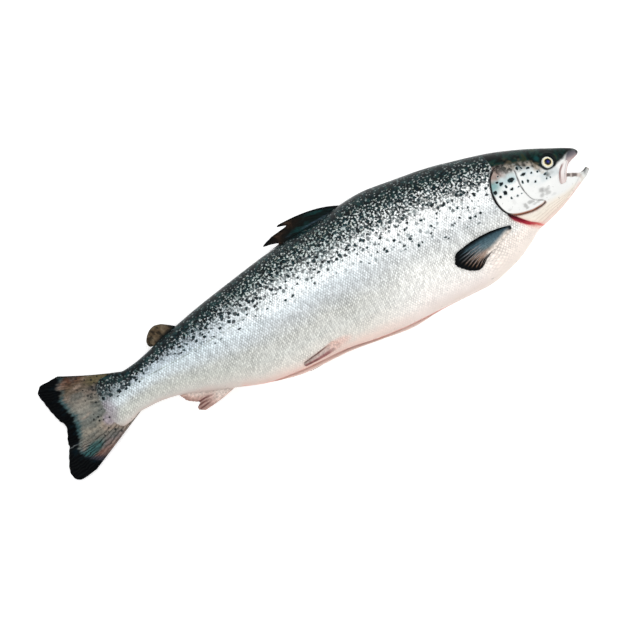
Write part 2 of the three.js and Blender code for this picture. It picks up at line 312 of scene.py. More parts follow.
gillSlit = pathThrough(head["gillSlit"], 40)
scaleEdge = curveThrough(head["scaleEdge"])
darkEdge = curveThrough(head["darkEdge"])
gumLine = pathThrough(head["gum"], 40)
upperLip = pathThrough(head["upperLip"], 60)
lowerLip = pathThrough(head["lowerLip"], 60)
grooveBelow = curveThrough(head["coverGrooveBelow"])
snoutTop = curveThrough(head["snoutTop"])


# colours and relief of the skin

# Colours up the flank, from -1 at the belly to 1 on the back, for three stretches of the fish. The whitest
# band, just above the widest line, is a painted highlight over the silver skin.
flankTints = {
    "front": [(-1, (232, 216, 206)), (-0.9, (240, 228, 222)), (-0.78, (246, 240, 235)),
              (-0.6, (245, 244, 240)), (-0.45, (238, 238, 234)), (-0.3, (220, 222, 220)),
              (-0.14, (213, 217, 218)), (0, (238, 242, 243)), (0.3, (248, 250, 250)),
              (0.6, (238, 243, 243)), (0.8, (176, 190, 186)), (0.92, (104, 122, 118)), (1, (52, 66, 66))],
    "middle": [(-1, (226, 202, 190)), (-0.9, (238, 216, 205)), (-0.78, (226, 222, 214)),
               (-0.6, (212, 213, 208)), (-0.4, (204, 205, 200)), (-0.18, (200, 205, 207)),
               (-0.02, (214, 222, 226)), (0.14, (240, 246, 248)), (0.4, (236, 242, 243)),
               (0.7, (196, 208, 206)), (0.9, (110, 126, 122)), (1, (46, 60, 60))],
    "rear": [(-1, (204, 190, 182)), (-0.85, (206, 203, 196)), (-0.6, (198, 200, 193)),
             (-0.4, (193, 196, 192)), (-0.2, (200, 208, 211)), (0, (208, 220, 225)),
             (0.2, (190, 202, 210)), (0.5, (178, 190, 198)), (0.8, (90, 106, 110)), (1, (36, 48, 50))],
}
# How much of the skin is dark at each level, from the silver flank to the ridge of the back.
darkParts = {
    "front": [(0.12, 0.0), (0.2, 0.04), (0.3, 0.2), (0.36, 0.37), (0.43, 0.52), (0.54, 0.59),
              (0.64, 0.64), (0.74, 0.76), (0.85, 0.93), (0.95, 1.05)],
    "middle": [(0.16, 0.0), (0.26, 0.16), (0.37, 0.35), (0.49, 0.47), (0.6, 0.58), (0.71, 0.65),
               (0.86, 0.82), (0.97, 1.0)],
    "rear": [(-0.1, 0.0), (0.1, 0.03), (0.32, 0.25), (0.45, 0.42), (0.55, 0.58), (0.65, 0.74),
             (0.75, 0.92), (0.9, 1.15)],
}
# Tan and grey between the tail rays, browner towards both edges, by height y.
rayTints = [(-70, (74, 66, 70)), (-58, (122, 98, 90)), (-50, (118, 108, 106)), (-40, (118, 114, 106)),
            (-28, (140, 134, 122)), (-12, (122, 124, 118)), (4, (142, 138, 128)), (20, (118, 108, 98)),
            (30, (92, 80, 66)), (40, (96, 66, 52)), (48, (44, 36, 30))]


def throatDepth(x, y):
    # 0 under the gill cover, 1 on the edge of the throat.
    return (grooveBelow(x) - y) / np.maximum(grooveBelow(x) - bellyLine(x), 2)


def throatFolds(x, y):
    # Fine folds of the throat skin, between the gill cover and the isthmus, and where they are.
    depth = throatDepth(x, y)
    where = ramp(x, 264, 274) * fall(x, 345, 362) * ramp(depth, 0.02, 0.12) * fall(depth, 0.86, 1)
    bend = depth + 0.10 * ramp(x, 270, 345)
    return where * np.cos(2 * math.pi * head["throatFolds"] * bend), where


def rayColour(x, y):
    tan = ladder(y, rayTints)
    blotch = wander(x * 0.5, y, 9, 31)
    tan = paint(tan, (160, 140, 126), 0.5 * ramp(blotch, 0, 0.5))
    return paint(tan, (84, 92, 90), 0.5 * ramp(-blotch, 0.1, 0.5))


def flankTint(x, y, loose):
    rear, middle, front = (ladder(loose, flankTints[part]) for part in ("rear", "middle", "front"))
    tint = blend(rear, middle, ramp(x, -190, -30)[..., None])
    tint = blend(tint, front, ramp(x, 20, 140)[..., None])
    tint = paint(tint, (250, 238, 228), 0.75 * ramp(x, 190, 225) * ramp(-y, 42, 54))
    # A pale line of painted highlight on the ridge where the dorsal fin's base folds into the back, and the
    # lateral line, plainest near the tail.
    foldHighlight = fall(distanceTo(x, y, dorsalFold)[0], 0.6, 1.7) * ramp(wander(x, y, 14, 45), -0.5, 0.1)
    tint = paint(tint, (120, 138, 144), 0.7 * foldHighlight)
    line = fall(np.abs(y - lateralLine(x)), 0.2, 1.1) * ramp(wander(x, y, 4, 46), -0.6, 0.2)
    return paint(tint, (128, 138, 128), line * (0.2 + 0.5 * fall(x, -120, -60)))


def cheekTint(x, y):
    # White cheek and gill cover, blue-green and brown at the rear, with grey patches low down.
    tint = np.broadcast_to(linear(243, 244, 242), x.shape + (3,))
    tint = paint(tint, (205, 216, 219), 0.6 * ramp(wander(x, y, 17, 5), 0.0, 0.5) * ramp(y, -14, 0))
    blue = ramp(y + 0.25 * (266 - x), 2, 16) * fall(x, 259, 277) * fall(y, 18, 25)
    tint = paint(tint, (126, 168, 168), 0.95 * blue)
    tint = paint(tint, (176, 200, 202), 0.6 * fall(oval(x, y, (281, 15), (10, 8)), 0.6, 1.2))
    tint = paint(tint, (150, 124, 114), 0.9 * ramp(y + 3 * wander(x, y, 6, 55), 17, 24) * fall(x, 266, 290))
    strokes = ramp(wander(x + 0.3 * y, 0.35 * y, 2.6, 56), 0.05, 0.4) * ramp(y, 20, 25)
    tint = paint(tint, (62, 54, 48), 0.7 * strokes * ramp(x, 259, 262) * fall(x, 284, 291))
    tint = paint(tint, (178, 164, 152), ramp(x, 311, 316) * fall(x, 322, 326) * ramp(y, 6, 12))
    belowEye = ramp(x, 312, 318) * fall(x, 338, 343) * ramp(y, -10, -5) * fall(y, 1, 4)
    tint = paint(tint, (205, 214, 216), 0.7 * belowEye)
    for px, py, wide, tall, amount in head["greyPatches"]:
        away = oval(x, y, (px, py), (wide, tall)) + 0.45 * wander(x + y, y - x, 5, px)
        tint = paint(tint, (138, 138, 136), amount * fall(away, 0.35, 1.15))
    return tint


def throatTint(tint, x, y):
    # Cream throat, with thin brownish lines of painted shade in the troughs of its folds.
    cream = ladder(throatDepth(x, y), [(0, (244, 236, 224)), (0.35, (248, 238, 224)),
                                       (0.7, (247, 231, 216)), (1, (236, 206, 196))])
    tint = blend(tint, cream, ramp(grooveBelow(x) - y, -5, 3)[..., None])
    folds, where = throatFolds(x, y)
    foldTroughShade = ramp(-folds, 0.45, 0.95) * where * ramp(wander(x, y, 30, 3), -0.5, 0.4)
    return paint(tint, (186, 170, 158), 0.42 * foldTroughShade)


def crownTint(tint, x, y):
    # Dark top of the head, teal and olive, breaking up into brown grains over the cheek.
    above = y - darkEdge(x)
    mix = above + 1.6 * wander(x, y, 6, 12)
    tint = paint(tint, (122, 114, 102), 0.9 * ramp(mix, -13, -3) * ramp(x, 272, 284) * fall(x, 316, 324))
    grain = wander(x + 0.5 * y, y - 0.4 * x, 5, 17)
    near = ramp(mix, -15, -4) * ramp(x, 260, 270) * fall(x, 324, 330)
    tint = paint(tint, (26, 32, 28), 0.85 * ramp(grain, 0.0, 0.25) * near)
    tint = paint(tint, (196, 186, 172), 0.6 * ramp(-grain, 0.12, 0.35) * near)
    top = ladder(wander(x, y, 7, 14), [(-0.5, (2, 8, 8)), (-0.1, (5, 20, 19)), (0.2, (12, 46, 42)),
                                       (0.45, (40, 50, 34))])
    brown = ramp(wander(x, y * 1.5, 8, 19), 0.05, 0.4) * ramp(x, 276, 290) * fall(x, 318, 330)
    top = paint(top, (92, 84, 66), 0.6 * brown * fall(above, 6, 12))
    return blend(tint, top, ramp(mix, -1.5, 3.5)[..., None])


def snoutTint(tint, x, y):
    # Grey snout, pink upper lip, and the lower jaw's dark tip and gum.
    snout = ladder(y + 0.8 * wander(x, y, 5, 23),
                   [(0, (210, 194, 192)), (3, (176, 160, 160)), (6, (128, 120, 124)), (9, (92, 90, 96)),
                    (12, (48, 52, 56))])
    onSnout = ramp(x, 351, 357) * ramp(y, -1.5, 1) * fall(y - snoutTop(x), -2, 1.2)
    tint = blend(tint, snout, onSnout[..., None])
    tint = paint(tint, (6, 10, 12), ramp(x, 368.8, 371.8) * ramp(y, 2.5, 4.5))
    onLip = fall(distanceTo(x, y, upperLip)[0], 0.5, 2.2) * fall(x, 366, 370)
    tint = paint(tint, (176, 148, 146), 0.7 * onLip)
    tint = paint(tint, (206, 208, 204), 0.6 * ramp(x, 356, 372) * ramp(-y, 10, 12) * fall(-y, 19, 23))
    tip = fall(oval(x, y, (370, -16.6), (6.5, 3.2)) + 0.2 * wander(x, y, 4, 20), 0.5, 1.15)
    tint = paint(tint, (58, 62, 62), 0.9 * tip * ramp(-y, 10, 12))
    gap, along = distanceTo(x, y, gumLine)
    gum = fall(gap + 1.2 * wander(x, y, 3, 21), 1.6, 3.4)
    tint = paint(tint, (206, 190, 180), 0.7 * gum)
    knots = np.maximum(fall(np.abs(along - 0.14), 0.1, 0.24), fall(np.abs(along - 0.62), 0.14, 0.3))
    return paint(tint, (82, 68, 66), 0.85 * gum * knots)


def headTint(x, y):
    return snoutTint(crownTint(throatTint(cheekTint(x, y), x, y), x, y), x, y)


def markHeadLines(tint, x, y, onHead):
    # Dark skin round the eye, a teal spot behind it, and painted shade along the crease lines of the plates.
    ring = np.hypot(x - head["eye"][0], y - head["eye"][1])
    tint = paint(tint, (8, 18, 20), fall(ring, 9.8, 12) * ramp(y, 1, 4))
    tint = paint(tint, (20, 70, 72), 0.7 * fall(np.hypot(x - 322, y - 22), 1.5, 4.5))
    creaseShade = fall(distanceTo(x, y, crease)[0], 0.3, 1.2)
    tint = paint(tint, (84, 84, 86), creaseShade * (0.8 - 0.65 * ramp(-y, 2, 9)) * onHead)
    under = fall(distanceTo(x, y, lowerEdge)[0], 0.8, 3.0)
    return paint(tint, (158, 96, 66), under * 0.85 * ramp(wander(x, y, 8, 18), -0.8, 0.1))


def gillCut(x, y):
    # Raw red flesh in the cut behind the gills: how much, its colour, and how far away the cut is.
    gap, along = distanceTo(x, y, gillSlit)
    halfWide = np.interp(along, [0, 0.25, 0.6, 1], [1.0, 3.1, 2.4, 1.3])
    raw = fall(gap, halfWide - 0.4, halfWide + 0.6)
    red = ladder(along, [(0, (44, 12, 20)), (0.25, (98, 18, 38)), (0.5, (156, 32, 54)),
                         (0.75, (206, 78, 88)), (1, (242, 150, 138))])
    # Brighter on its lower rear side: a painted highlight where that wall of the cut faces the light.
    across = gillSlit @ np.array(head["cutNormal"])
    lower = np.interp(along, np.linspace(0, 1, len(gillSlit)), across)
    lower = lower - head["cutNormal"][0] * x - head["cutNormal"][1] * y
    bright = ramp(lower, 0.0, 2.0) * ramp(along, 0.1, 0.2) * fall(along, 0.55, 0.85)
    return raw, paint(red, (204, 66, 86), 0.75 * bright), gap


def bellyTint(tint, x, y, side):
    # Pink edge of the belly cut with a dark line of painted shade deep in it, and pink skin round the fins.
    along = ramp(x, shape["slitFrom"], -126) * fall(x, 128, shape["slitTo"] + 4) * (side > 0)
    flap = np.abs(y - nearFlap(x) + 0.6)
    tint = paint(tint, (242, 228, 220), 0.9 * along * ramp(nearFlap(x) - y, 0.6, 1.2))
    tint = paint(tint, (232, 160, 144), 0.8 * along * fall(flap, 0.2, 1.0))
    # A dark line of painted shade deep in the cut.
    tint = paint(tint, (120, 82, 76), 0.6 * ramp(x, -40, -10) * fall(x, 25, 50) * fall(flap, 0.1, 0.7))
    tint = paint(tint, (226, 186, 174), 0.4 * along * fall(flap, 1, 7) * fall(x, -20, 60))
    tint = paint(tint, (214, 196, 188), 0.6 * fall(oval(x, y, (-186, -50), (26, 9)), 0.4, 1.1))
    tint = paint(tint, (232, 190, 178), 0.6 * fall(oval(x, y, (-2, -70), (22, 7)), 0.3, 1.1))
    return paint(tint, (180, 186, 192), 0.6 * fall(oval(x, y, (240, -37), (18, 3.2)), 0.6, 1.2))


def tailRootTint(tint, x, y):
    # Dark above, mauve below, running into the tail's tan.
    tint = paint(tint, (88, 96, 96), 0.85 * ramp(-x, 258, 292) * ramp(y + 4 * wander(x, y, 8, 26), -13, 4))
    tint = paint(tint, (96, 88, 62), 0.8 * ramp(-x, 280, 292) * ramp(y, 18, 24))
    mauve = ramp(-x + 6 * wander(x, y, 10, 29), 282, 300)
    tint = paint(tint, (146, 138, 146), 0.85 * mauve * fall(y, -8, 4) * fall(-y, 30, 38))
    tint = paint(tint, (132, 118, 110), 0.8 * ramp(-x, 282, 300) * ramp(-y, 34, 40))
    return blend(tint, rayColour(x, y), (0.9 * ramp(-x, 296, 306))[..., None])


def darkPart(x, y, loose):
    # How much of the skin is dark.
    uneven = loose + 0.05 * wander(x, y, 9, 27)
    rear = np.interp(uneven + 0.16 * ramp(-x, 225, 270), *zip(*darkParts["rear"]))
    middle = np.interp(uneven, *zip(*darkParts["middle"]))
    front = np.interp(uneven, *zip(*darkParts["front"]))
    dark = blend(blend(rear, middle, ramp(x, -190, -60)), front, ramp(x, 30, 110))
    tailEnd = -x + 5 * wander(x, y, 6, 28)
    return dark * (1 - 0.25 * ramp(-x, 262, 284)) * (1 - 0.45 * ramp(tailEnd, 286, 302))


def scatteredPart(x, y, loose, level):
    # How much of the flank carries single spots: lower down towards the head.
    lowest = blend(0.0, -0.2, ramp(x, 20, 140))
    amount = ramp(loose - lowest, 0.0, 0.14) * fall(level, 0.6, 0.8) * blend(0.62, 1.0, ramp(x, -40, 90))
    return amount * (1 - 0.5 * ramp(x, 215, 245) * fall(y, 2, 20))


def skinMarks(x, y, side):
    # What the skin is like at each place: its colour and how much of each effect.
    level = levelAt(x, y)
    loose = level + 0.05 * wander(x, y * 1.6, 26, 1 + side)
    onHead = ramp(x - scaleEdge(y), -0.6, 0.6)
    tint = blend(flankTint(x, y, loose), headTint(x, y), onHead[..., None])
    tint = markHeadLines(tint, x, y, onHead)
    raw, flesh, cutGap = gillCut(x, y)
    tint = blend(tint, flesh, raw[..., None])
    tint = paint(tint, (246, 196, 184), 0.55 * fall(cutGap, 2.2, 6.5) * (1 - raw) * ramp(-y, 26, 34))
    tint = tailRootTint(bellyTint(tint, x, y, side), x, y)
    onTrunk = (1 - onHead) * (1 - raw)
    scales = fall(level, 0.72, 0.9) * ramp(level, -0.97, -0.72) * blend(0.6, 1, ramp(level, -0.75, -0.25))
    return {"tint": tint, "scales": onTrunk * scales, "dense": onTrunk * darkPart(x, y, loose),
            "sparse": onTrunk * scatteredPart(x, y, loose, level),
            "cheekSpots": onHead * ramp(y, -12, -8) * fall(y - darkEdge(x), -1, 2)}


def skinRelief(x, y, side):
    # Height of plates, folds and cuts over the plain section, in mm.
    inside = insideOf(x, y, coverLine)
    height = -2.3 * ramp(inside, -0.9, 0.4)
    height -= 0.5 * fall(distanceTo(x, y, crease)[0], 0.3, 1.8) * fall(inside, -0.5, 0.5)
    gap, along = distanceTo(x, y, gillSlit)
    height -= 5.0 * fall(gap, 1.7, 3.2) * ramp(along, 0, 0.12) * fall(along, 0.8, 1)
    ring = np.hypot(x - head["eye"][0], y - head["eye"][1])
    height += 0.55 * hill(ring, 10.6, 1.6) - 2.6 * fall(ring, 7.0, 9.2)
    for nx, ny in head["nostrils"]:
        hole = np.hypot(x - nx, y - ny)
        height -= 1.3 * fall(hole, 0.5, 1.3) - 0.25 * hill(hole, 1.8, 0.6)
    height += 0.35 * throatFolds(x, y)[0]
    # The cheek swells a little, the snout is hollow in front of the eye.
    height += 0.9 * hill(x, 306, 13) * hill(y, -6, 17) - 0.8 * hill(x, 350, 9) * hill(y, 8, 5)
    # Uneven flesh on the trunk, pulled in along the lateral line.
    uneven = 0.4 * wander(x, y, 60, 21 + side, 2) + 0.16 * wander(x, y * 0.6, 13, 24 + side, 2)
    return height + fall(x, 225, 260) * (uneven - 0.3 * hill(y, lateralLine(x), 1.2))


# building meshes

def gridNormals(grid, wrap):
    before = np.roll(grid, 1, axis=1) if wrap else np.concatenate([grid[:, :1], grid[:, :-1]], 1)
    after = np.roll(grid, -1, axis=1) if wrap else np.concatenate([grid[:, 1:], grid[:, -1:]], 1)
    down = np.concatenate([grid[:1], grid[:-1]])
    up = np.concatenate([grid[1:], grid[-1:]])
    n = np.cross(up - down, after - before)
    return n / np.maximum(np.linalg.norm(n, axis=-1, keepdims=True), 1e-9)


def gridFaces(rows, columns, wrap, start=0, flip=False):
    last = columns if wrap else columns - 1
    i, j = np.meshgrid(np.arange(rows - 1), np.arange(last), indexing="ij")
    here, beside = i * columns + j, i * columns + (j + 1) % columns
    quad = np.stack([here, beside, beside + columns, here + columns], -1).reshape(-1, 4) + start
    return quad[:, ::-1] if flip else quad


def addPiece(name, points, faces, marks=None, maps=None):
    mesh = bpy.data.meshes.new(name)
    places = np.asarray(points).reshape(-1, 3) * mm + home
    mesh.from_pydata(places.tolist(), [], [list(map(int, face)) for face in faces])
    mesh.polygons.foreach_set("use_smooth", [True] * len(mesh.polygons))
    for key, values in (marks or {}).items():
        values = np.asarray(values, np.float32)
        if values.shape[-1] == 3 and values.ndim > 1:
            layer = mesh.attributes.new(key, "FLOAT_COLOR", "POINT")
            flat = values.reshape(-1, 3)
            layer.data.foreach_set("color", np.concatenate([flat, np.ones((len(flat), 1))], 1).ravel())
        else:
            layer = mesh.attributes.new(key, "FLOAT", "POINT")
            layer.data.foreach_set("value", values.ravel())
    corners = np.zeros(len(mesh.loops), int)
    mesh.loops.foreach_get("vertex_index", corners)
    for key, uv in (maps or {}).items():
        layer = mesh.uv_layers.new(name=key)
        layer.data.foreach_set("uv", np.asarray(uv, np.float32).reshape(-1, 2)[corners].ravel())
    piece = bpy.data.objects.new(name, mesh)
    bpy.context.scene.collection.objects.link(piece)
    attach(piece, "root")
    return piece


def finishPiece(piece, node, material):
    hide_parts(node)
    piece.data.materials.append(material)
    print("made", piece.name, len(piece.data.polygons), "faces")


# shader tools

def startMaterial(name):
    material = bpy.data.materials.new(name)
    material.use_nodes = True
    tree = material.node_tree
    tree.nodes.clear()
    shader = tree.nodes.new("ShaderNodeBsdfPrincipled")
    output = tree.nodes.new("ShaderNodeOutputMaterial")
    tree.links.new(shader.outputs["BSDF"], output.inputs["Surface"])
    return material, tree, shader


def feed(tree, socket, value):
    if isinstance(value, bpy.types.NodeSocket):
        tree.links.new(value, socket)
    elif socket.type == "RGBA" and len(value) == 3:
        socket.default_value = (*value, 1)
    else:
        socket.default_value = value


def put(tree, kind, inputs=None, **settings):
    node = tree.nodes.new(kind)
    for key, value in settings.items():
        setattr(node, key, value)
    for key, value in (inputs or {}).items():
        feed(tree, node.inputs[key], value)
    return node


def calc(tree, operation, a, b=0.0):
    return put(tree, "ShaderNodeMath", {0: a, 1: b}, operation=operation).outputs[0]


def plus(tree, first, *others):
    for other in others:
        first = calc(tree, "ADD", first, other)
    return first


def minus(tree, a, b):
    return calc(tree, "SUBTRACT", a, b)


def times(tree, first, *others):
    for other in others:
        first = calc(tree, "MULTIPLY", first, other)
    return first


def vectorSum(tree, a, b):
    return put(tree, "ShaderNodeVectorMath", {0: a, 1: b}, operation="ADD").outputs[0]


def vectorProduct(tree, a, b):
    return put(tree, "ShaderNodeVectorMath", {0: a, 1: b}, operation="MULTIPLY").outputs[0]


def vectorScale(tree, a, factor):
    return put(tree, "ShaderNodeVectorMath", {0: a, "Scale": factor}, operation="SCALE").outputs[0]


def mapTo(tree, value, low, high, toLow=0.0, toHigh=1.0):
    node = put(tree, "ShaderNodeMapRange", {"Value": value, "From Min": low, "From Max": high,
                                            "To Min": toLow, "To Max": toHigh},
               interpolation_type="SMOOTHSTEP")
    return node.outputs["Result"]


def mixTint(tree, amount, a, b, mode="MIX"):
    node = tree.nodes.new("ShaderNodeMix")
    node.data_type = "RGBA"
    node.blend_type = mode
    # The colour sockets come after those for numbers and vectors.
    for index, value in ((0, amount), (6, a), (7, b)):
        feed(tree, node.inputs[index], value)
    return node.outputs[2]


def greyOf(tree, value):
    return put(tree, "ShaderNodeCombineColor", {0: value, 1: value, 2: value}).outputs[0]


def channels(tree, colour):
    return put(tree, "ShaderNodeSeparateColor", {0: colour}).outputs


def noise(tree, where, scale, detail, roughness=0.5, dimensions="2D"):
    return put(tree, "ShaderNodeTexNoise", {"Vector": where, "Scale": scale, "Detail": detail,
                                            "Roughness": roughness},
               noise_dimensions=dimensions).outputs


def cellsOf(tree, where, unevenness, feature="F1"):
    return put(tree, "ShaderNodeTexVoronoi", {"Vector": where, "Scale": 1.0, "Randomness": unevenness},
               voronoi_dimensions="2D", feature=feature).outputs


def mark(tree, name, output="Fac"):
    return put(tree, "ShaderNodeAttribute", attribute_name=name, attribute_type="GEOMETRY").outputs[output]


def mapInMm(tree, name):
    # A flat map in mm: the maps are stored in metres.
    return vectorScale(tree, put(tree, "ShaderNodeUVMap", uv_map=name).outputs["UV"], 1 / mm)


def setBump(tree, shader, height, strength, distance):
    bump = put(tree, "ShaderNodeBump", {"Height": height, "Strength": strength, "Distance": distance})
    feed(tree, shader.inputs["Normal"], bump.outputs["Normal"])


def startGroup(name, inputs, outputs):
    group = bpy.data.node_groups.new(name, "ShaderNodeTree")
    for label, kind, value in inputs:
        socket = group.interface.new_socket(label, in_out="INPUT", socket_type="NodeSocket" + kind)
        if value is not None:
            socket.default_value = value
    for label in outputs:
        group.interface.new_socket(label, in_out="OUTPUT", socket_type="NodeSocketFloat")
    source = group.nodes.new("NodeGroupInput")
    target = group.nodes.new("NodeGroupOutput")
    return group, source.outputs, target.inputs


def place(tree, group, inputs):
    node = tree.nodes.new("ShaderNodeGroup")
    node.node_tree = group
    for key, value in inputs.items():
        feed(tree, node.inputs[key], value)
    return node.outputs


# shader groups

def makeScaleLattice():
    # Overlapping scales set cornerwise, with their own brightness. The vector is in mm.
    tree, given, result = startGroup(
        "scaleLattice",
        [("Place", "Vector", None), ("Length", "Float", 4.6), ("Depth", "Float", 4.6),
         ("Unevenness", "Float", 0.3)],
        ["Edge", "Rows", "Height", "Chance"])
    parts = put(tree, "ShaderNodeSeparateXYZ", {0: given["Place"]}).outputs
    u = calc(tree, "DIVIDE", parts[0], given["Length"])
    v = calc(tree, "DIVIDE", parts[1], given["Depth"])
    turned = put(tree, "ShaderNodeCombineXYZ", {0: plus(tree, u, v), 1: minus(tree, u, v)}).outputs[0]
    cells = cellsOf(tree, turned, given["Unevenness"])
    edges = cellsOf(tree, turned, given["Unevenness"], "DISTANCE_TO_EDGE")
    feed(tree, result["Edge"], mapTo(tree, edges["Distance"], 0.0, 0.38, 1.0, 0.0))
    # Each scale is domed, and tilts up towards the tail.
    middle = put(tree, "ShaderNodeSeparateXYZ", {0: cells["Position"]}).outputs
    here = put(tree, "ShaderNodeSeparateXYZ", {0: turned}).outputs
    ahead = plus(tree, minus(tree, here[0], middle[0]), minus(tree, here[1], middle[1]))
    dome = minus(tree, 0.6, cells["Distance"])
    feed(tree, result["Height"], minus(tree, dome, times(tree, ahead, 0.35)))
    fromRow = calc(tree, "ABSOLUTE", minus(tree, calc(tree, "FRACT", here[0]), 0.5))
    feed(tree, result["Rows"], mapTo(tree, fromRow, 0.18, 0.5))
    feed(tree, result["Chance"], channels(tree, cells["Color"])[0])
    return tree


def makeSkinSpots():
    # Uneven dark spots: some cells hold one, each with its own size, edges pulled about by noise.
    tree, given, result = startGroup(
        "skinSpots",
        [("Place", "Vector", None), ("Spacing", "Float", 8.0), ("Smallest", "Float", 0.8),
         ("Largest", "Float", 2.2), ("Amount", "Float", 0.5), ("Ragged", "Float", 1.2)],
        ["Mask", "Halo"])
    pull = vectorSum(tree, noise(tree, given["Place"], 0.42, 2.0)["Color"], (-0.5, -0.5, -0.5))
    pulled = vectorSum(tree, given["Place"], vectorScale(tree, pull, times(tree, given["Ragged"], 4.0)))
    cells = cellsOf(tree, vectorScale(tree, pulled, calc(tree, "DIVIDE", 1.0, given["Spacing"])), 1.0)
    own = channels(tree, cells["Color"])
    away = times(tree, cells["Distance"], given["Spacing"])
    spread = minus(tree, given["Largest"], given["Smallest"])
    rim = minus(tree, plus(tree, given["Smallest"], times(tree, own[0], spread)), away)
    present = calc(tree, "GREATER_THAN", given["Amount"], own[1])
    strength = times(tree, present, mapTo(tree, own[2], 0.0, 0.7, 0.35, 1.0))
    feed(tree, result["Mask"], times(tree, mapTo(tree, rim, -0.35, 0.45), strength))
    feed(tree, result["Halo"], times(tree, mapTo(tree, rim, -1.6, 0.0), present))
    return tree


def makeFinRays():
    # Fine lines that run out along a fin and fork towards its edge. U counts rays, V runs to the edge.
    tree, given, result = startGroup(
        "finRays",
        [("Place", "Vector", None), ("Width", "Float", 0.3), ("Fork", "Float", 0.55),
         ("Segments", "Float", 46.0)],
        ["Line", "Joints", "Height"])
    parts = put(tree, "ShaderNodeSeparateXYZ", {0: given["Place"]}).outputs

    def stripes(count):
        u = calc(tree, "FRACT", times(tree, parts[0], count))
        return mapTo(tree, calc(tree, "ABSOLUTE", minus(tree, u, 0.5)), 0.0, given["Width"], 1.0, 0.0)

    forked = mapTo(tree, parts[1], given["Fork"], plus(tree, given["Fork"], 0.2))
    single = times(tree, stripes(1.0), minus(tree, 1.0, forked))
    line = calc(tree, "MAXIMUM", single, times(tree, stripes(2.0), forked))
    gaps = mapTo(tree, calc(tree, "FRACT", times(tree, parts[1], given["Segments"])), 0.0, 0.3, 1.0, 0.0)
    joint = times(tree, gaps, line)
    feed(tree, result["Line"], line)
    feed(tree, result["Joints"], joint)
    feed(tree, result["Height"], minus(tree, line, times(tree, joint, 0.4)))
    return tree


scaleLattice = makeScaleLattice()
skinSpots = makeSkinSpots()
finRays = makeFinRays()
print("built shader groups")


# materials

skinLook = {
    "scaleLength": 3.5, "scaleDepth": 5.8, "unevenness": 0.24, "roughness": 0.33, "plateRoughness": 0.28,
    "spotInk": (0.002, 0.004, 0.006), "spotTeal": (0.008, 0.032, 0.038),
}
# Dark spots of the right cheek and gill cover: x, y, across, tall, in mm.
cheekSpotList = [
    (281, 12.5, 5, 3.2), (268, 13.5, 3, 2.6), (267.5, 1.5, 2.5, 3.2), (277, 2, 2.5, 2), (272, 8, 1.7, 2.2),
    (256, 7, 2.6, 3), (259.5, -0.5, 1.8, 1.4), (271.5, -8, 1.3, 1.6), (279.5, -9, 1.7, 1.7),
    (294.5, 22, 2.2, 2.8), (299.5, 20, 1.5, 2), (307, 16.5, 2.3, 1.9), (298, 12, 3.4, 2.2),
    (308, 9, 1.6, 1.5), (315.5, 7, 1.5, 1.4), (293, 3.5, 1.4, 2.2), (299.5, 2, 1.7, 2.3),
    (307.5, -3, 1.6, 1.5), (322.5, -0.2, 2.4, 1.3), (294, 30, 1.9, 1.8), (317, 20, 1.6, 1.2),
    (322, -6, 1.3, 1.1), (327, -6.4, 1.1, 1), (268.5, 23.5, 1.3, 1.2), (285.5, 0.3, 1.6, 1),
    (286, -8.5, 1, 0.8), (264, 17.5, 2, 1.4),
]


def setShine(shader, specular, coat, coatRoughness):
    shader.inputs["Specular IOR Level"].default_value = specular
    shader.inputs["Coat Weight"].default_value = coat
    shader.inputs["Coat Roughness"].default_value = coatRoughness


def spots(tree, where, spacing, smallest, largest, amount, ragged):
    return place(tree, skinSpots, {"Place": where, "Spacing": spacing, "Smallest": smallest,
                                   "Largest": largest, "Amount": amount, "Ragged": ragged})


def cheekDistance(tree, where):
    # How far the nearest listed spot is, counted in its own half widths.
    nearest = None
    for x, y, across, tall in cheekSpotList:
        away = vectorSum(tree, where, (-x, -float(roundAt(x, angleAt(x, y))), 0))
        sized = vectorProduct(tree, away, (1 / across, 1 / tall, 0))
        size = put(tree, "ShaderNodeVectorMath", {0: sized}, operation="LENGTH").outputs["Value"]
        nearest = size if nearest is None else calc(tree, "MINIMUM", nearest, size)
    return nearest


def shadeScales(tree, colour, where, lattice):
    # Each scale is a little lighter or darker, with a grey line of painted shade where it tucks under the
    # next.
    scales = mark(tree, "scales")
    patch = noise(tree, where, 0.045, 3.0)["Fac"]
    own = times(tree, minus(tree, lattice["Chance"], 0.5), 0.42)
    # Painted shade along each scale's edge and between the rows, where one scale tucks under the next.
    edge = times(tree, lattice["Edge"], mapTo(tree, patch, 0.35, 0.6, -0.62, -0.36))
    rows = times(tree, lattice["Rows"], mapTo(tree, patch, 0.4, 0.62, -0.04, -0.34))
    shade = times(tree, plus(tree, edge, rows, 0.3, own), scales)
    sparkle = minus(tree, noise(tree, where, 0.42, 1.0)["Fac"], 0.5)
    uneven = plus(tree, times(tree, minus(tree, patch, 0.5), 0.1), times(tree, sparkle, 0.5, scales))
    return mixTint(tree, 1.0, colour, greyOf(tree, plus(tree, shade, 1.0, uneven)), "MULTIPLY")


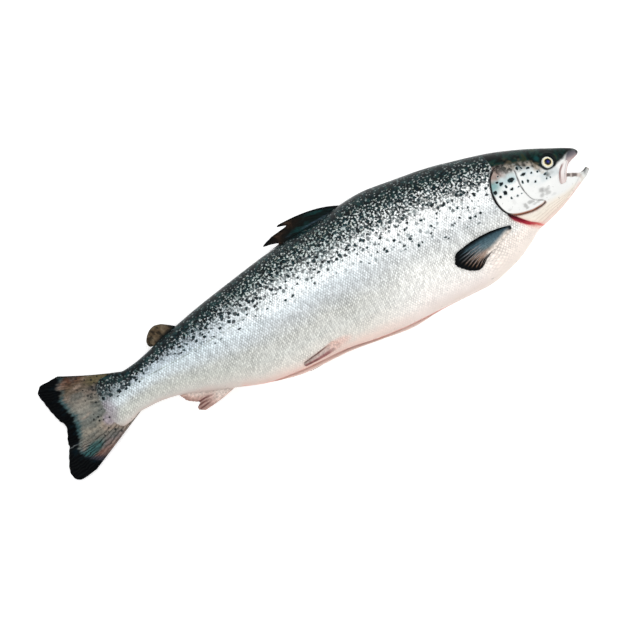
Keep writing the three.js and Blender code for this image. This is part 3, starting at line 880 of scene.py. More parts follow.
def drawNet(tree, colour, where, lattice):
    # Dark skin breaks up into a net between bright scales, more of it towards the back.
    dense = mark(tree, "dense")
    net = noise(tree, where, 0.3, 1.8, 0.6)["Fac"]
    broken = plus(tree, mapTo(tree, net, 0.22, 0.78), times(tree, minus(tree, lattice["Chance"], 0.5), 0.22))
    cover = plus(tree, broken, times(tree, dense, 1.05))
    netMask = times(tree, mapTo(tree, cover, 0.96, 1.1), mapTo(tree, dense, 0.22, 0.62, 0.35, 1.0))
    tone = channels(tree, noise(tree, where, 0.11, 3.0)["Color"])
    dim = mapTo(tree, plus(tree, times(tree, dense, 0.8), tone[0]), 0.8, 1.5)
    wash = mixTint(tree, mapTo(tree, tone[2], 0.42, 0.6), (0.09, 0.24, 0.23), (0.26, 0.25, 0.16))
    colour = mixTint(tree, times(tree, dim, 0.6), colour, wash)
    ink = mixTint(tree, mapTo(tree, tone[1], 0.45, 0.66), (0.003, 0.006, 0.007), (0.01, 0.034, 0.034))
    return mixTint(tree, times(tree, netMask, 0.99), colour, ink)


def drawSpots(tree, colour, where):
    # Crowded towards the back, scattered over the silver flank, and the listed ones on the cheek.
    dense, sparse, onCheek = mark(tree, "dense"), mark(tree, "sparse"), mark(tree, "cheekSpots")
    crowd = spots(tree, where, 5.6, 1.3, 3.0, times(tree, mapTo(tree, dense, 0.02, 0.42), 0.92), 0.9)
    few = spots(tree, vectorSum(tree, where, (400.0, 90.0, 0)), 8.0, 0.9, 2.5, times(tree, sparse, 0.8), 0.9)
    freckles = spots(tree, where, 5.6, 0.35, 1.25, times(tree, sparse, 0.5), 0.6)
    spotted = calc(tree, "MAXIMUM", crowd["Mask"], few["Mask"])
    spotted = calc(tree, "MAXIMUM", spotted, times(tree, freckles["Mask"], 0.6))
    # The edges of the listed ones are pulled about.
    pull = noise(tree, where, 0.3, 1.5)
    pulled = vectorSum(tree, vectorProduct(tree, pull["Color"], (2.4, 2.4, 0)), where)
    listed = cheekDistance(tree, vectorSum(tree, pulled, (-1.2, -1.2, 0)))
    spotted = calc(tree, "MAXIMUM", spotted, times(tree, mapTo(tree, listed, 0.72, 1.12, 1.0, 0.0), onCheek))
    halo = times(tree, mapTo(tree, listed, 1.0, 1.9, 1.0, 0.0), onCheek)
    halo = calc(tree, "MAXIMUM", halo, times(tree, few["Halo"], 0.6))
    colour = mixTint(tree, times(tree, halo, 0.3), colour, (0.42, 0.58, 0.62))
    ink = mixTint(tree, mapTo(tree, pull["Fac"], 0.42, 0.68), skinLook["spotInk"], skinLook["spotTeal"])
    colour = mixTint(tree, times(tree, spotted, 0.99), colour, ink)
    # Painted glints: pale points in the dark skin where single scales catch the light.
    glintSpecks = spots(tree, vectorSum(tree, where, (130.0, 250.0, 0)), 4.6, 0.5, 1.35,
                   mapTo(tree, dense, 0.35, 0.65, 0.0, 0.72), 0.5)
    paler = mixTint(tree, 0.5, mark(tree, "tint", "Color"), (0.9, 0.93, 0.92))
    glintTint = mixTint(tree, mapTo(tree, dense, 0.75, 1.1), paler, (0.16, 0.2, 0.2))
    return mixTint(tree, times(tree, glintSpecks["Mask"], 0.85), colour, glintTint)


def makeSkin(name, roughness):
    material, tree, shader = startMaterial(name)
    where = mapInMm(tree, "flank")
    lattice = place(tree, scaleLattice, {
        "Place": where, "Length": skinLook["scaleLength"], "Depth": skinLook["scaleDepth"],
        "Unevenness": skinLook["unevenness"]})
    colour = shadeScales(tree, mark(tree, "tint", "Color"), where, lattice)
    colour = drawSpots(tree, drawNet(tree, colour, where, lattice), where)
    feed(tree, shader.inputs["Base Color"], colour)
    film = noise(tree, where, 0.08, 4.0)["Fac"]
    feed(tree, shader.inputs["Roughness"], mapTo(tree, film, 0.3, 0.7, roughness - 0.08, roughness + 0.1))
    domes = times(tree, lattice["Height"], mark(tree, "scales"), 0.55)
    grain = noise(tree, where, 0.9, 3.0)["Fac"]
    setBump(tree, shader, plus(tree, domes, times(tree, grain, 0.12)), 0.6, 0.0005)
    setShine(shader, 0.09, 0.025, 0.12)
    return material


trunkSkin = makeSkin("scaledSkin", skinLook["roughness"])
plateSkin = makeSkin("headPlateSkin", skinLook["plateRoughness"])
print("made skin")


# body

bodyGrid = {
    "tailRoot": -307.0, "headFrom": 300.0, "tailStep": 0.7, "trunkStep": 2.3, "headStep": 1.0,
    "sides": 216, "lipRings": 76,
}
# The lining narrows to a ring at the throat, which one point closes.
mouth = {
    "throat": (324, -9), "throatEnd": (322, -9), "widest": 330, "rings": 16,
    "tints": [(0, (176, 172, 168)), (0.15, (196, 184, 178)), (0.35, (214, 160, 150)), (0.6, (170, 84, 82)),
              (1, (70, 22, 26))],
}
# The left flank lies this far along the flat map, so that its spots are its own.
leftFlankAt = 1200


def ringStations():
    xs = [bodyGrid["tailRoot"]]
    while xs[-1] < bodyGrid["headFrom"] - 1:
        x = xs[-1]
        step = blend(bodyGrid["trunkStep"], bodyGrid["headStep"], float(ramp(x, 222, 246)))
        step = blend(bodyGrid["tailStep"], step, float(ramp(x, -308, -290)))
        xs.append(x + step)
    xs[-1] = bodyGrid["headFrom"]
    return np.array(xs)


def lipTargets(angle):
    # Where each line of the head meets the lips, in the XY plane.
    hinge = head["hingeAngle"]
    up = np.clip(angle / hinge, 0, 1) * (len(upperLip) - 1)
    low = np.clip((angle - hinge) / (math.pi - hinge), 0, 1) * (len(lowerLip) - 1)

    def along(axis):
        upper = np.interp(up, range(len(upperLip)), upperLip[:, axis])
        return np.where(angle < hinge, upper, np.interp(low, range(len(lowerLip)), lowerLip[:, axis]))
    return along(0), along(1)


def bodyRings(angle):
    # Upright rings over the trunk, then rings that bend until the last one is the lips.
    size = np.abs(angle)
    trunkX, trunkAngle = np.meshgrid(ringStations(), angle, indexing="ij")
    t = np.linspace(0, 1, bodyGrid["lipRings"] + 1)[1:, None]
    lipX, lipY = lipTargets(size)
    lipAngle = angleAt(lipX, lipY)
    lipAngle = np.where(size > math.pi - 1e-6, math.pi, np.where(size < 1e-6, 0, lipAngle))
    headAngle = np.sign(angle) * blend(size[None], lipAngle[None], t ** 1.4)
    x = np.concatenate([trunkX, blend(bodyGrid["headFrom"], lipX[None], t)])
    return x, np.concatenate([trunkAngle, headAngle])


def skinGrid(x, y, z, side):
    # The skin with its relief and belly cut, pressed flat where it lies.
    plain = np.stack([x, y, z], -1)
    normal = gridNormals(plain, wrap=True)
    fromMiddle = np.stack([0 * x, y - (backLine(x) + bellyLine(x)) / 2, z], -1)
    normal *= np.sign(np.sum(normal * fromMiddle, -1))[..., None]
    lipFade = fall(np.arange(len(x))[:, None], len(x) - 4, len(x))
    grid = plain + normal * (skinRelief(x, y, side) * lipFade)[..., None]
    # The near belly flap ends above the far one, with the cut between them.
    within = ramp(x, shape["slitFrom"], shape["slitFrom"] + 10) * (side > 0)
    within *= fall(x, shape["slitTo"] - 20, shape["slitTo"])
    below = nearFlap(x) - grid[..., 1]
    inner = 2.0 + 0.5 * np.clip(below, 0, 8)
    ledge = blend(grid[..., 2], np.minimum(grid[..., 2], inner), within * ramp(below, -0.3, 1.0))
    grid[..., 2] = rest(centre(x) + ledge - 0.8 * within * hill(below, 0.9, 0.6))
    return grid


def mouthLining(lip, angle):
    # Curves from the lips back to the throat.
    rise = np.clip((head["hingeAngle"] - np.abs(angle)) / 0.45, -1, 1)
    rise = rise * (1.5 - 0.5 * rise * rise)
    middle = centre(lip[:, 0])
    across = lip[:, 2] - middle
    near = lip + np.stack([-2.5 + 0 * rise, 1.5 * rise, -0.3 * across], -1)
    farX = blend(lip[:, 0], mouth["widest"], 0.55)
    far = np.stack([farX, lip[:, 1] + 6 * rise, middle + 0.45 * across], -1)
    tx, ty = mouth["throat"]
    throat = np.stack([tx + 0 * rise, ty + 3 * np.cos(angle), centre(tx) + 4 * np.sin(angle)], -1)
    s = np.linspace(0, 1, mouth["rings"] + 1)[1:, None, None] ** 1.5
    return (1 - s) ** 3 * lip + 3 * s * (1 - s) ** 2 * near + 3 * s * s * (1 - s) * far + s ** 3 * throat


def flankMap(x, around, side):
    # The flat map of the skin. Scale rows lean back low down.
    lean = 0.0048 * np.clip(-4 - around, 0, 60) ** 2 * fall(x, 200, 240)
    u = np.where(side > 0, x + lean, leftFlankAt - x - lean)
    return np.stack([u, around], -1).reshape(-1, 2) * mm


def addBakeMap(piece, rows, columns):
    # Along the fish one way, round it the other, opened along the belly.
    layer = piece.data.uv_layers.new(name="OFBake")
    corners = np.zeros(len(piece.data.loops), int)
    starts = np.zeros(len(piece.data.polygons), int)
    piece.data.loops.foreach_get("vertex_index", corners)
    piece.data.polygons.foreach_get("loop_start", starts)
    owner = np.repeat(np.arange(len(starts)), np.diff(np.append(starts, len(corners))))
    count = rows * columns
    pole = corners >= count
    row, column = corners // columns, np.where(pole, 0.0, corners % columns)
    widest = np.maximum.reduceat(column, starts)
    column = np.where((widest[owner] == columns - 1) & (column == 0) & ~pole, columns, column)
    column = np.where(pole, np.add.reduceat(column, starts)[owner] / 2, column)
    row = np.where(corners == count, -1, np.where(corners == count + 1, rows, row))
    uv = np.stack([(row + 1.5) / (rows + 2), (column + 0.5) / (columns + 1)], -1)
    layer.data.foreach_set("uv", uv.astype(np.float32).ravel())


def makeBody():
    angle = np.linspace(-math.pi, math.pi, bodyGrid["sides"], endpoint=False)
    x, a = bodyRings(angle)
    y, z = section(x, a)
    side = np.where(a >= 0, 1.0, -1.0)
    skin = skinGrid(x, y, z, side)
    lining = mouthLining(skin[-1], angle)
    depth = np.linspace(0, 1, len(lining))[:, None] + 0 * angle
    # The skin under the gill cover is painted near black, as painted shade under the cover.
    underCoverShade = ramp(insideOf(x, y, coverLine), -1.2, -0.2)
    marks = skinMarks(x, y, side)
    for key, values in marks.items():
        if key == "tint":
            marks[key] = np.concatenate([paint(values, (12, 8, 10), underCoverShade), ladder(depth, mouth["tints"])])
        else:
            marks[key] = np.concatenate([values * (1 - underCoverShade), 0 * depth])
    around = np.concatenate([roundAt(x, a), lining[..., 1]])
    allSides = np.concatenate([side, side[-1:] + 0 * depth])
    flank = flankMap(np.concatenate([x, lining[..., 0]]), around, allSides)
    # Close the tail root and the throat with one point each.
    root, (endX, endY) = bodyGrid["tailRoot"], mouth["throatEnd"]
    ends = [[root - 1, (backLine(root) + bellyLine(root)) / 2, centre(root)], [endX, endY, centre(endX)]]
    grid = np.concatenate([skin, lining])
    rows, columns = grid.shape[:2]
    count = rows * columns
    faces = list(gridFaces(rows, columns, wrap=True))
    for j in range(columns):
        k = (j + 1) % columns
        faces += [(count, k, j), (count + 1, count - columns + j, count - columns + k)]
    for key, values in marks.items():
        wide = values.reshape(count, -1)
        marks[key] = np.concatenate([wide, wide[:1], wide[-1:]]).squeeze()
    points = np.concatenate([grid.reshape(-1, 3), np.array(ends, float)])
    flank = np.concatenate([flank, flank[:1], flank[-1:]])
    piece = addPiece("salmonBody", points, faces, marks, {"flank": flank})
    addBakeMap(piece, rows, columns)
    finishPiece(piece, "body", trunkSkin)


makeBody()


# fin skin

def makeFinSkin(name, roughness, specular):
    material, tree, shader = startMaterial(name)
    where = mapInMm(tree, "flank")
    wobble = mapTo(tree, noise(tree, where, 0.12, 2.0)["Fac"], 0.2, 0.8, -0.18, 0.18)
    shift = put(tree, "ShaderNodeCombineXYZ", {0: wobble}).outputs[0]
    alongRays = put(tree, "ShaderNodeUVMap", uv_map="rays").outputs["UV"]
    rays = place(tree, finRays, {"Place": vectorSum(tree, alongRays, shift), "Width": 0.36, "Fork": 0.5})
    patch = noise(tree, where, 0.3, 4.0, 0.65)["Fac"]
    grey = greyOf(tree, mapTo(tree, patch, 0.25, 0.75, 0.72, 1.28))
    colour = mixTint(tree, 1.0, mark(tree, "tint", "Color"), grey, "MULTIPLY")
    rayPart = times(tree, rays["Line"], mark(tree, "rayAmount"))
    colour = mixTint(tree, rayPart, colour, mark(tree, "rayTint", "Color"))
    colour = mixTint(tree, times(tree, rays["Joints"], 0.15), colour, (0.01, 0.012, 0.012))
    dark = spots(tree, where, 6.0, 0.6, 1.7, mark(tree, "dense"), 0.6)["Mask"]
    colour = mixTint(tree, times(tree, dark, 0.9), colour, (0.006, 0.009, 0.01))
    feed(tree, shader.inputs["Base Color"], colour)
    feed(tree, shader.inputs["Roughness"], mapTo(tree, patch, 0.3, 0.7, roughness - 0.06, roughness + 0.12))
    setBump(tree, shader, plus(tree, rays["Height"], times(tree, patch, 0.5)), 0.7, 0.0004)
    setShine(shader, specular, 0.01, 0.2)
    return material


darkFin = makeFinSkin("darkFinSkin", 0.46, 0.04)
paleFin = makeFinSkin("paleFinSkin", 0.4, 0.3)
tailSkin = makeFinSkin("tailSkin", 0.46, 0.03)


# fins

# Fins stay a hair above the ground, and the under skin's spots are its own.
finLook = {"lowest": 0.05, "underMapShift": 0.5}


def twoSkins(rows, columns, flip):
    # Two grids of one shape, the second facing the other way.
    return [*gridFaces(rows, columns, False, 0, not flip),
            *gridFaces(rows, columns, False, rows * columns, flip)]


def rimFaces(rows, columns, flip):
    # The strip that joins two grids of one shape round their edge.
    count = rows * columns
    rim = [*range(columns - 1), *range(columns - 1, count - 1, columns),
           *range(count - 1, count - columns, -1), *range(count - columns, 0, -columns)]
    pairs = zip(rim, rim[1:] + rim[:1])
    return [(j, i, i + count, j + count) if flip else (i, j, j + count, i + count) for i, j in pairs]


def twice(values):
    # The same marks for the upper and the lower skin.
    flat = values.reshape(values.shape[0] * values.shape[1], -1)
    return np.concatenate([flat, flat]).squeeze()


def finMarks(tint, rays, rayTint, dense=0.0):
    plain = 0 * tint[..., 0]
    return {"tint": tint, "rayAmount": plain + rays, "rayTint": 0 * tint + linear(*rayTint),
            "dense": plain + dense}


def makeFin(name, node, material, plan, lay, colours):
    # Rays follow the guides: where each starts, bends and ends. Two skins with raised rays, closed all round.
    rays, rows = plan["rays"], plan["rows"]
    columns = rays * plan["perRay"] + 1
    guides = pathThrough(plan["guides"], columns)
    start, bend, end = guides[:, 0:2], guides[:, 2:4], guides[:, 4:6]
    a = np.linspace(0, 1, columns)
    b = np.linspace(0, 1, rows)[:, None] ** 0.9
    torn = plan["ragged"] * (0.5 + 0.5 * wander(a * rays * 0.9, 0 * a, 1.0, plan["seed"], 2))
    torn += 0.35 * plan["ragged"] * (0.5 - 0.5 * np.cos(2 * math.pi * a * rays))
    length = np.linalg.norm(end - start, axis=1)
    t = b * (1 - torn * np.clip(np.minimum(a, 1 - a) * 12, 0.15, 1) / length)
    flat = (start[None] * ((1 - t) * (1 - 2 * t))[..., None] + bend[None] * (4 * t * (1 - t))[..., None]
            + end[None] * (t * (2 * t - 1))[..., None])
    x, y = flat[..., 0], flat[..., 1]
    a, b = np.broadcast_to(a, x.shape), np.broadcast_to(b, x.shape)
    edge = np.clip(np.minimum(a, 1 - a) * columns / 3, 0, 1) ** 0.5
    tipEdge = np.clip((1 - b) * rows / 3, 0, 1) ** 0.5
    thick = blend(plan["thick"][0], plan["thick"][1], b ** 0.6) * (0.35 + 0.65 * edge * tipEdge)
    single = 0.5 + 0.5 * np.cos(2 * math.pi * a * rays)
    double = 0.5 + 0.5 * np.cos(4 * math.pi * a * rays)
    ridge = blend(single, double, ramp(b, 0.45, 0.7)) ** 1.5 * plan["ridge"] * edge * (1 - 0.6 * b)
    middle = lay(x, y, a, b)
    upper = np.stack([x, y, middle + thick / 2 + ridge], -1)
    lower = np.stack([x, y, middle - thick / 2 - ridge * plan.get("under", 1)], -1)
    points = np.concatenate([upper.reshape(-1, 3), lower.reshape(-1, 3)])
    points[:, 2] = np.maximum(points[:, 2], finLook["lowest"])
    flip = np.cross(flat[1, 0] - flat[0, 0], flat[0, 1] - flat[0, 0]) < 0
    faces = twoSkins(rows, columns, flip) + rimFaces(rows, columns, flip)
    marks = {key: twice(values) for key, values in colours(x, y, a, b).items()}
    flank = np.stack([x, y], -1).reshape(-1, 2) * mm
    maps = {"rays": twice(np.stack([a * rays, b], -1)),
            "flank": np.concatenate([flank, flank + finLook["underMapShift"]])}
    finishPiece(addPiece(name, points, faces, marks, maps), node, material)


tail = {
    "guides": [(-262, 20.8, -300, 35.2, -336, 51.8), (-268, 19, -312, 36, -352, 51.2),
               (-276, 17, -318, 33, -362.5, 50.8), (-284, 14, -322, 28, -369, 42),
               (-290, 10, -325, 20, -366.8, 28), (-294, 5, -326, 11, -364, 13), (-297, -1, -327, 2, -361, 2),
               (-298, -7, -327, -8, -355.8, -8), (-298, -13, -327, -17, -358, -18),
               (-296, -19, -327, -26, -362.5, -28), (-292, -25, -326, -35, -364.5, -35),
               (-286, -29, -324, -43, -371.3, -48), (-279, -31, -321, -50, -377, -61),
               (-272, -33, -316, -55, -376, -72), (-266, -34, -310, -57, -367, -78),
               (-262, -34.7, -303, -54.5, -345, -74.8)],
    "rays": 21, "perRay": 8, "rows": 72, "thick": (2.6, 0.7), "ridge": 0.32, "ragged": 1.3, "seed": 4,
    "bandEdge": [(-78, -322), (-60, -345), (-45, -352), (-36, -349), (-20, -343), (-8, -341), (2, -341),
                 (10, -346), (20, -346), (40, -343), (52, -336)],
}


def paintTail(x, y, a, b):
    tan = rayColour(x, y)
    bark = ramp(wander(x, y * 2.2, 7, 33), 0.15, 0.4) * ramp(y, 20, 30) * fall(x, -316, -304)
    tan = paint(tan, (52, 40, 32), 0.7 * bark)
    mottle = ramp(wander(x, y, 5, 39), -0.25, 0.15) * ramp(x, -324, -300) * ramp(y, -8, 6) * fall(y, 22, 30)
    tan = paint(tan, (66, 70, 70), 0.6 * ramp(x, -312, -298) * ramp(y, -4, 6) * fall(y, 20, 26))
    tan = paint(tan, (30, 36, 38), 0.8 * mottle)
    tan = paint(tan, (96, 88, 62), 0.8 * ramp(x, -316, -298) * ramp(y, 19, 26))
    tan = paint(tan, (164, 154, 166), 0.7 * fall(oval(x, y, (-301, -25), (10, 9)), 0.5, 1.2))
    tan = paint(tan, (116, 76, 66), 0.6 * fall(oval(x, y, (-333, -57), (9, 4)), 0.5, 1.2))
    # The black trailing band, with blue-green at its jagged inner edge.
    jag = 3.6 * wander(x * 0.1, y, 4.5, 35)
    jag += 5.0 * wander(x * 0.02, a * tail["rays"] * 4, 1.6, 36) * ramp(y, -66, -56)
    depth = np.interp(y, *zip(*tail["bandEdge"])) + jag - x
    patchy = 0.5 + 0.5 * ramp(wander(x * 0.3, y, 12, 37), -0.3, 0.3)
    tan = paint(tan, (40, 78, 84), 0.85 * ramp(depth, -9, -2) * patchy)
    teal = fall(oval(x, y - 0.25 * (x + 336), (-336, -50), (20, 9)), 0.5, 1.15)
    tan = paint(tan, (38, 88, 88), 0.85 * teal)
    black = np.maximum(ramp(depth, -2.5, 2), fall(a, 0.008, 0.03) - 0.1)
    black = np.maximum(black, ramp(a, 0.985, 1) * 0.6)
    tan = paint(tan, (50, 48, 58), 0.85 * ramp(-y - 0.45 * (x + 335), 58, 63) * ramp(-x, 318, 332))
    tan = paint(tan, (1, 2, 4), np.clip(black, 0, 1))
    innerBlack = black * fall(depth, 3, 12) * ramp(wander(x * 0.4, y, 6, 38), -0.1, 0.3)
    tan = paint(tan, (6, 26, 34), 0.6 * innerBlack)
    tan = paint(tan, (140, 146, 148), 0.5 * (np.abs(y + 36.2) < 0.5) * ramp(-x, 344, 350))
    rays = 0.22 + 0.75 * teal + 0.4 * ramp(-y, 30, 40) + 0.2 * ramp(y, 26, 34)
    spotted = 0.4 * ramp(x, -330, -312) * (1 - black)
    spotted += 0.5 * ramp(y, -4, 8) * ramp(x, -324, -306) * fall(y, 30, 36)
    return finMarks(tan, np.clip(rays, 0, 0.95), (16, 20, 20), np.clip(spotted, 0, 1))


makeFin("tailFin", "tail_fin", tailSkin, tail,
        lambda x, y, a, b: centre(x) + 1.2 * b * b * np.sin(5 * a + 0.6) + 0.5 * b * np.sin(17 * a),
        paintTail)

dorsal = {
    "guides": [(77, 81.5, 42, 92.6, -3.5, 95), (69, 79, 34, 90.5, -5.5, 92.8), (61, 77, 34, 87, 4.5, 89.3),
               (51, 75, 24, 84, -6, 87.2), (41, 74, 12, 81, -20, 84.8), (31, 73, 2, 78, -32.2, 79.2),
               (21, 72, -2, 75.5, -22, 76.8), (11, 71, -4, 73.2, -13, 73.4), (1, 70, -10, 71.2, -29, 70.2)],
    "rays": 13, "perRay": 8, "rows": 44, "thick": (3.0, 0.6), "ridge": 0.35, "ragged": 1.1, "seed": 6,
    "tints": [(0, (12, 26, 27)), (0.25, (12, 26, 25)), (0.5, (18, 20, 18)), (0.8, (30, 24, 20)),
              (1, (8, 8, 8))],
}


def paintDorsal(x, y, a, b):
    tint = ladder(b + 0.1 * wander(x, y, 12, 41), dorsal["tints"])
    tint = paint(tint, (24, 66, 66), 0.7 * ramp(wander(x, y * 2.5, 14, 42), 0, 0.4) * fall(b, 0.3, 0.7))
    stripe = fall(np.abs(y - 76.5 - 0.03 * x), 0.4, 1.6) * ramp(wander(x, y, 18, 44), -0.2, 0.3)
    tint = paint(tint, (66, 84, 96), 0.7 * stripe)
    tint = paint(tint, (74, 56, 44), 0.6 * ramp(wander(x, y * 1.6, 10, 43), 0.1, 0.5) * ramp(b, 0.5, 0.9))
    tint = paint(tint, (8, 11, 12), np.maximum(fall(a, 0.02, 0.1), ramp(b, 0.93, 1)))
    return finMarks(tint, 0.55, (7, 12, 12))


makeFin("dorsalFin", "dorsal_fin", darkFin, dorsal,
        lambda x, y, a, b: centre(x) + 0.6 * np.sin(3 * a) + 0.8 * b * b * np.sin(6 * a + 1), paintDorsal)

adipose = {
    "guides": [(-174.5, 40.5, -182, 46, -190, 51.2), (-181, 38, -190, 46.5, -198.5, 53.2),
               (-188, 36, -197, 44.5, -206.5, 51), (-195, 34, -203, 42, -212, 46.3),
               (-201, 32.5, -208, 38.5, -216, 40.8), (-206, 31, -211, 34.5, -217, 35),
               (-209, 29.5, -212, 31, -214.5, 31)],
    "rays": 17, "perRay": 4, "rows": 26, "thick": (4.6, 1.3), "ridge": 0.06, "ragged": 0.3, "seed": 8,
}


def paintAdipose(x, y, a, b):
    tint = ladder(wander(x, y, 9, 51), [(-0.5, (66, 54, 42)), (0, (92, 78, 60)), (0.5, (110, 98, 80))])
    tint = paint(tint, (12, 16, 14), ramp(wander(x * 1.5 + y, y, 7, 52), 0.2, 0.45) * 0.7)
    tint = paint(tint, (16, 22, 22), np.maximum(fall(a + 0.35 * b, 0.1, 0.36), fall(b, 0.05, 0.3)))
    tint = paint(tint, (30, 26, 22), ramp(b, 0.9, 1) * 0.7)
    return finMarks(tint, 0.18, (30, 26, 22))


makeFin("adiposeFin", "adipose_fin", darkFin, adipose,
        lambda x, y, a, b: centre(x), paintAdipose)

anal = {
    "guides": [(-139, -60.5, -163, -66.8, -189, -70.6), (-147, -58, -169, -65, -196.5, -66.5),
               (-155, -55.5, -173, -61.5, -197.5, -62.5), (-163, -53, -177, -57.5, -192, -58.7),
               (-171, -50, -183, -54, -196, -55.5), (-180, -46.5, -191, -50, -203.5, -50.5),
               (-190, -42.5, -198, -45, -208, -43.5), (-200, -38.5, -204, -40, -210, -38.5)],
    "rays": 12, "perRay": 8, "rows": 34, "thick": (3.0, 0.7), "ridge": 0.4, "ragged": 1.4, "seed": 9,
    "streaks": [((-193, -57.4), (-182, -56.4), (-166, -57.2)), ((-197, -62), (-186, -60.4), (-172, -60.8)),
                ((-193, -66), (-184, -64.6), (-172, -63))],
    "tints": [(0, (214, 204, 196)), (0.4, (218, 200, 190)), (0.75, (200, 168, 156)), (1, (162, 126, 116))],
}


def paintAnal(x, y, a, b):
    tint = ladder(b + 0.15 * wander(x, y, 9, 61), anal["tints"])
    tint = paint(tint, (176, 144, 134), 0.7 * ramp(-x, 164, 180) * ramp(-y, 48, 56))
    for line in anal["streaks"]:
        gap, along = distanceTo(x, y, np.array(line))
        tint = paint(tint, (92, 46, 46), 0.9 * fall(gap, 0.5, 1.7) * fall(along, 0.45, 1))
    tint = paint(tint, (220, 186, 174), 0.6 * fall(a, 0.02, 0.1))
    return finMarks(tint, 0.12 + 0.4 * ramp(b, 0.5, 0.9), (130, 84, 74))


makeFin("analFin", "anal_fin", paleFin, anal,
        lambda x, y, a, b: centre(x) + 1.5 * b * b * np.sin(7 * a), paintAnal)

pectoral = {
    "guides": [(254.5, -37.3, 218, -32.2, 178.5, -37.8), (254.7, -38.3, 217, -35, 174.5, -40.8),
               (254.8, -39.2, 215, -38, 173, -44), (254.8, -40, 214, -41.5, 169.6, -50),
               (254.7, -40.8, 213.5, -45, 173.5, -56), (254.5, -41.6, 214, -49, 179.8, -62.3),
               (254, -42.3, 215.5, -52.5, 188, -67.8), (253.5, -43, 217.5, -54.5, 196.6, -70),
               (253, -43.6, 222, -55, 204.5, -66), (252.5, -44.2, 228, -53, 211, -58.5)],
    "rays": 13, "perRay": 8, "rows": 60, "thick": (2.8, 0.6), "ridge": 0.3, "ragged": 1.6, "seed": 12,
    "under": 0, "leftShift": -12,
    "tints": [(-69, (196, 150, 118)), (-60, (196, 156, 128)), (-54, (186, 158, 140)), (-49, (104, 118, 122)),
              (-44, (92, 116, 126)), (-38, (60, 84, 94))],
    "creamEdge": [(196, -75), (206, -61), (215, -54), (225, -50), (235, -46), (245, -42), (255, -40.6)],
}


def paintPectoral(x, y, a, b):
    slate = ladder(y, pectoral["tints"])
    bound = np.interp(x, *zip(*pectoral["creamEdge"]))
    slate = paint(slate, (250, 240, 230), ramp(bound - y, -4, 3.5))
    streak = ramp(np.cos(2 * math.pi * a * pectoral["rays"] + 1.2 * wander(x, y, 14, 71)), 0.0, 0.8)
    middle = streak * ramp(b, 0.52, 0.62) * fall(b, 0.78, 0.92) * ramp(a, 0.16, 0.26)
    slate = paint(slate, (146, 140, 140), 0.8 * middle)
    # The black outer part reaches further in towards the rear, and the front ray is black all along.
    inner = 0.62 - 0.16 * wander(a * 18, 0 * a, 1.5, 72)
    inner += 0.14 * fall(a, 0.1, 0.35) - 0.08 * ramp(a, 0.5, 0.8)
    dark = ramp(b - inner, 0, 0.16) * (1 - 0.8 * ramp(a, 0.88, 0.95))
    dark *= 1 - 0.8 * streak * fall(b, 0.78, 0.95)
    slate = paint(slate, (3, 5, 8), np.maximum(dark, fall(a, 0.05, 0.15)))
    brown = streak * ramp(a, 0.6, 0.8) * ramp(b, 0.55, 0.75) * fall(b, 0.92, 1)
    slate = paint(slate, (66, 50, 34), 0.6 * brown)
    slate = paint(slate, (28, 34, 38), ramp(x, 248, 252) * fall(-y, 41, 43))
    return finMarks(slate, 0.15 + 0.7 * ramp(b, 0.5, 0.68), (14, 18, 20))


makeFin("pectoralFinRight", "pectoral_fin_right", darkFin, pectoral,
        lambda x, y, a, b: skinPoint(x, y, 1) + 0.4 + 2.2 * b * b + 1.4 * ramp(b, 0, 0.12) * fall(b, 0.5, 1),
        paintPectoral)
# The left one is the same, lower on the body.
leftPectoral = dict(pectoral)
leftPectoral["guides"] = np.array(pectoral["guides"]) + np.tile([0, pectoral["leftShift"]], 3)
makeFin("pectoralFinLeft", "pectoral_fin_left", darkFin, leftPectoral,
        lambda x, y, a, b: np.maximum(skinPoint(x, y, -1) - 0.9 - 1.6 * b * b, 0.7),
        lambda x, y, a, b: paintPectoral(x, y - pectoral["leftShift"], a, b))

pelvic = {
    "guides": [(-9, -65.6, -30, -69.6, -52, -73.6), (-6, -67.5, -29, -72, -53, -75),
               (-3, -70, -28, -74.3, -53.5, -76), (-2, -73, -27, -76.6, -53, -77.2),
               (-3, -76.5, -27, -78.6, -51.5, -78.6)],
    "rays": 9, "perRay": 8, "rows": 36, "thick": (2.2, 0.6), "ridge": 0.3, "ragged": 0.8, "seed": 15,
    "under": 0,
    "tints": [(0, (112, 78, 70)), (0.1, (118, 84, 76)), (0.2, (206, 186, 178)), (0.5, (212, 190, 182)),
              (0.62, (176, 128, 124)), (0.8, (150, 98, 98)), (1, (176, 120, 112))],
}


def paintPelvic(x, y, a, b):
    tint = ladder(a + 0.05 * wander(x * 0.3, y, 3, 81), pelvic["tints"])
    return finMarks(paint(tint, (238, 206, 194), fall(b, 0.05, 0.4)), 0.25, (120, 78, 74))


makeFin("pelvicFinRight", "pelvic_fin_right", paleFin, pelvic,
        lambda x, y, a, b: skinPoint(x, y, 1) + 0.35 + 1.2 * b * b, paintPelvic)

leftPelvic = {
    "guides": [(-4, -80.5, -26, -85.8, -50, -86.6), (-5, -78, -27, -83.8, -54, -85),
               (-6, -76, -27, -82, -54, -83.5), (-7, -74, -27, -80, -51, -81.5)],
    "rays": 8, "perRay": 8, "rows": 36, "thick": (1.4, 0.6), "ridge": 0.2, "ragged": 0.8, "seed": 16,
    "height": 27.8,
}


def paintLeftPelvic(x, y, a, b):
    tint = ladder(a, [(0, (70, 62, 62)), (0.2, (96, 84, 82)), (0.5, (196, 172, 164)), (1, (214, 190, 182))])
    return finMarks(paint(tint, (214, 150, 140), fall(b, 0.05, 0.35)), 0.3, (110, 76, 72))


makeFin("pelvicFinLeft", "pelvic_fin_left", paleFin, leftPelvic,
        lambda x, y, a, b: leftPelvic["height"] + 0 * a, paintLeftPelvic)


# head plates, eyes and mouth

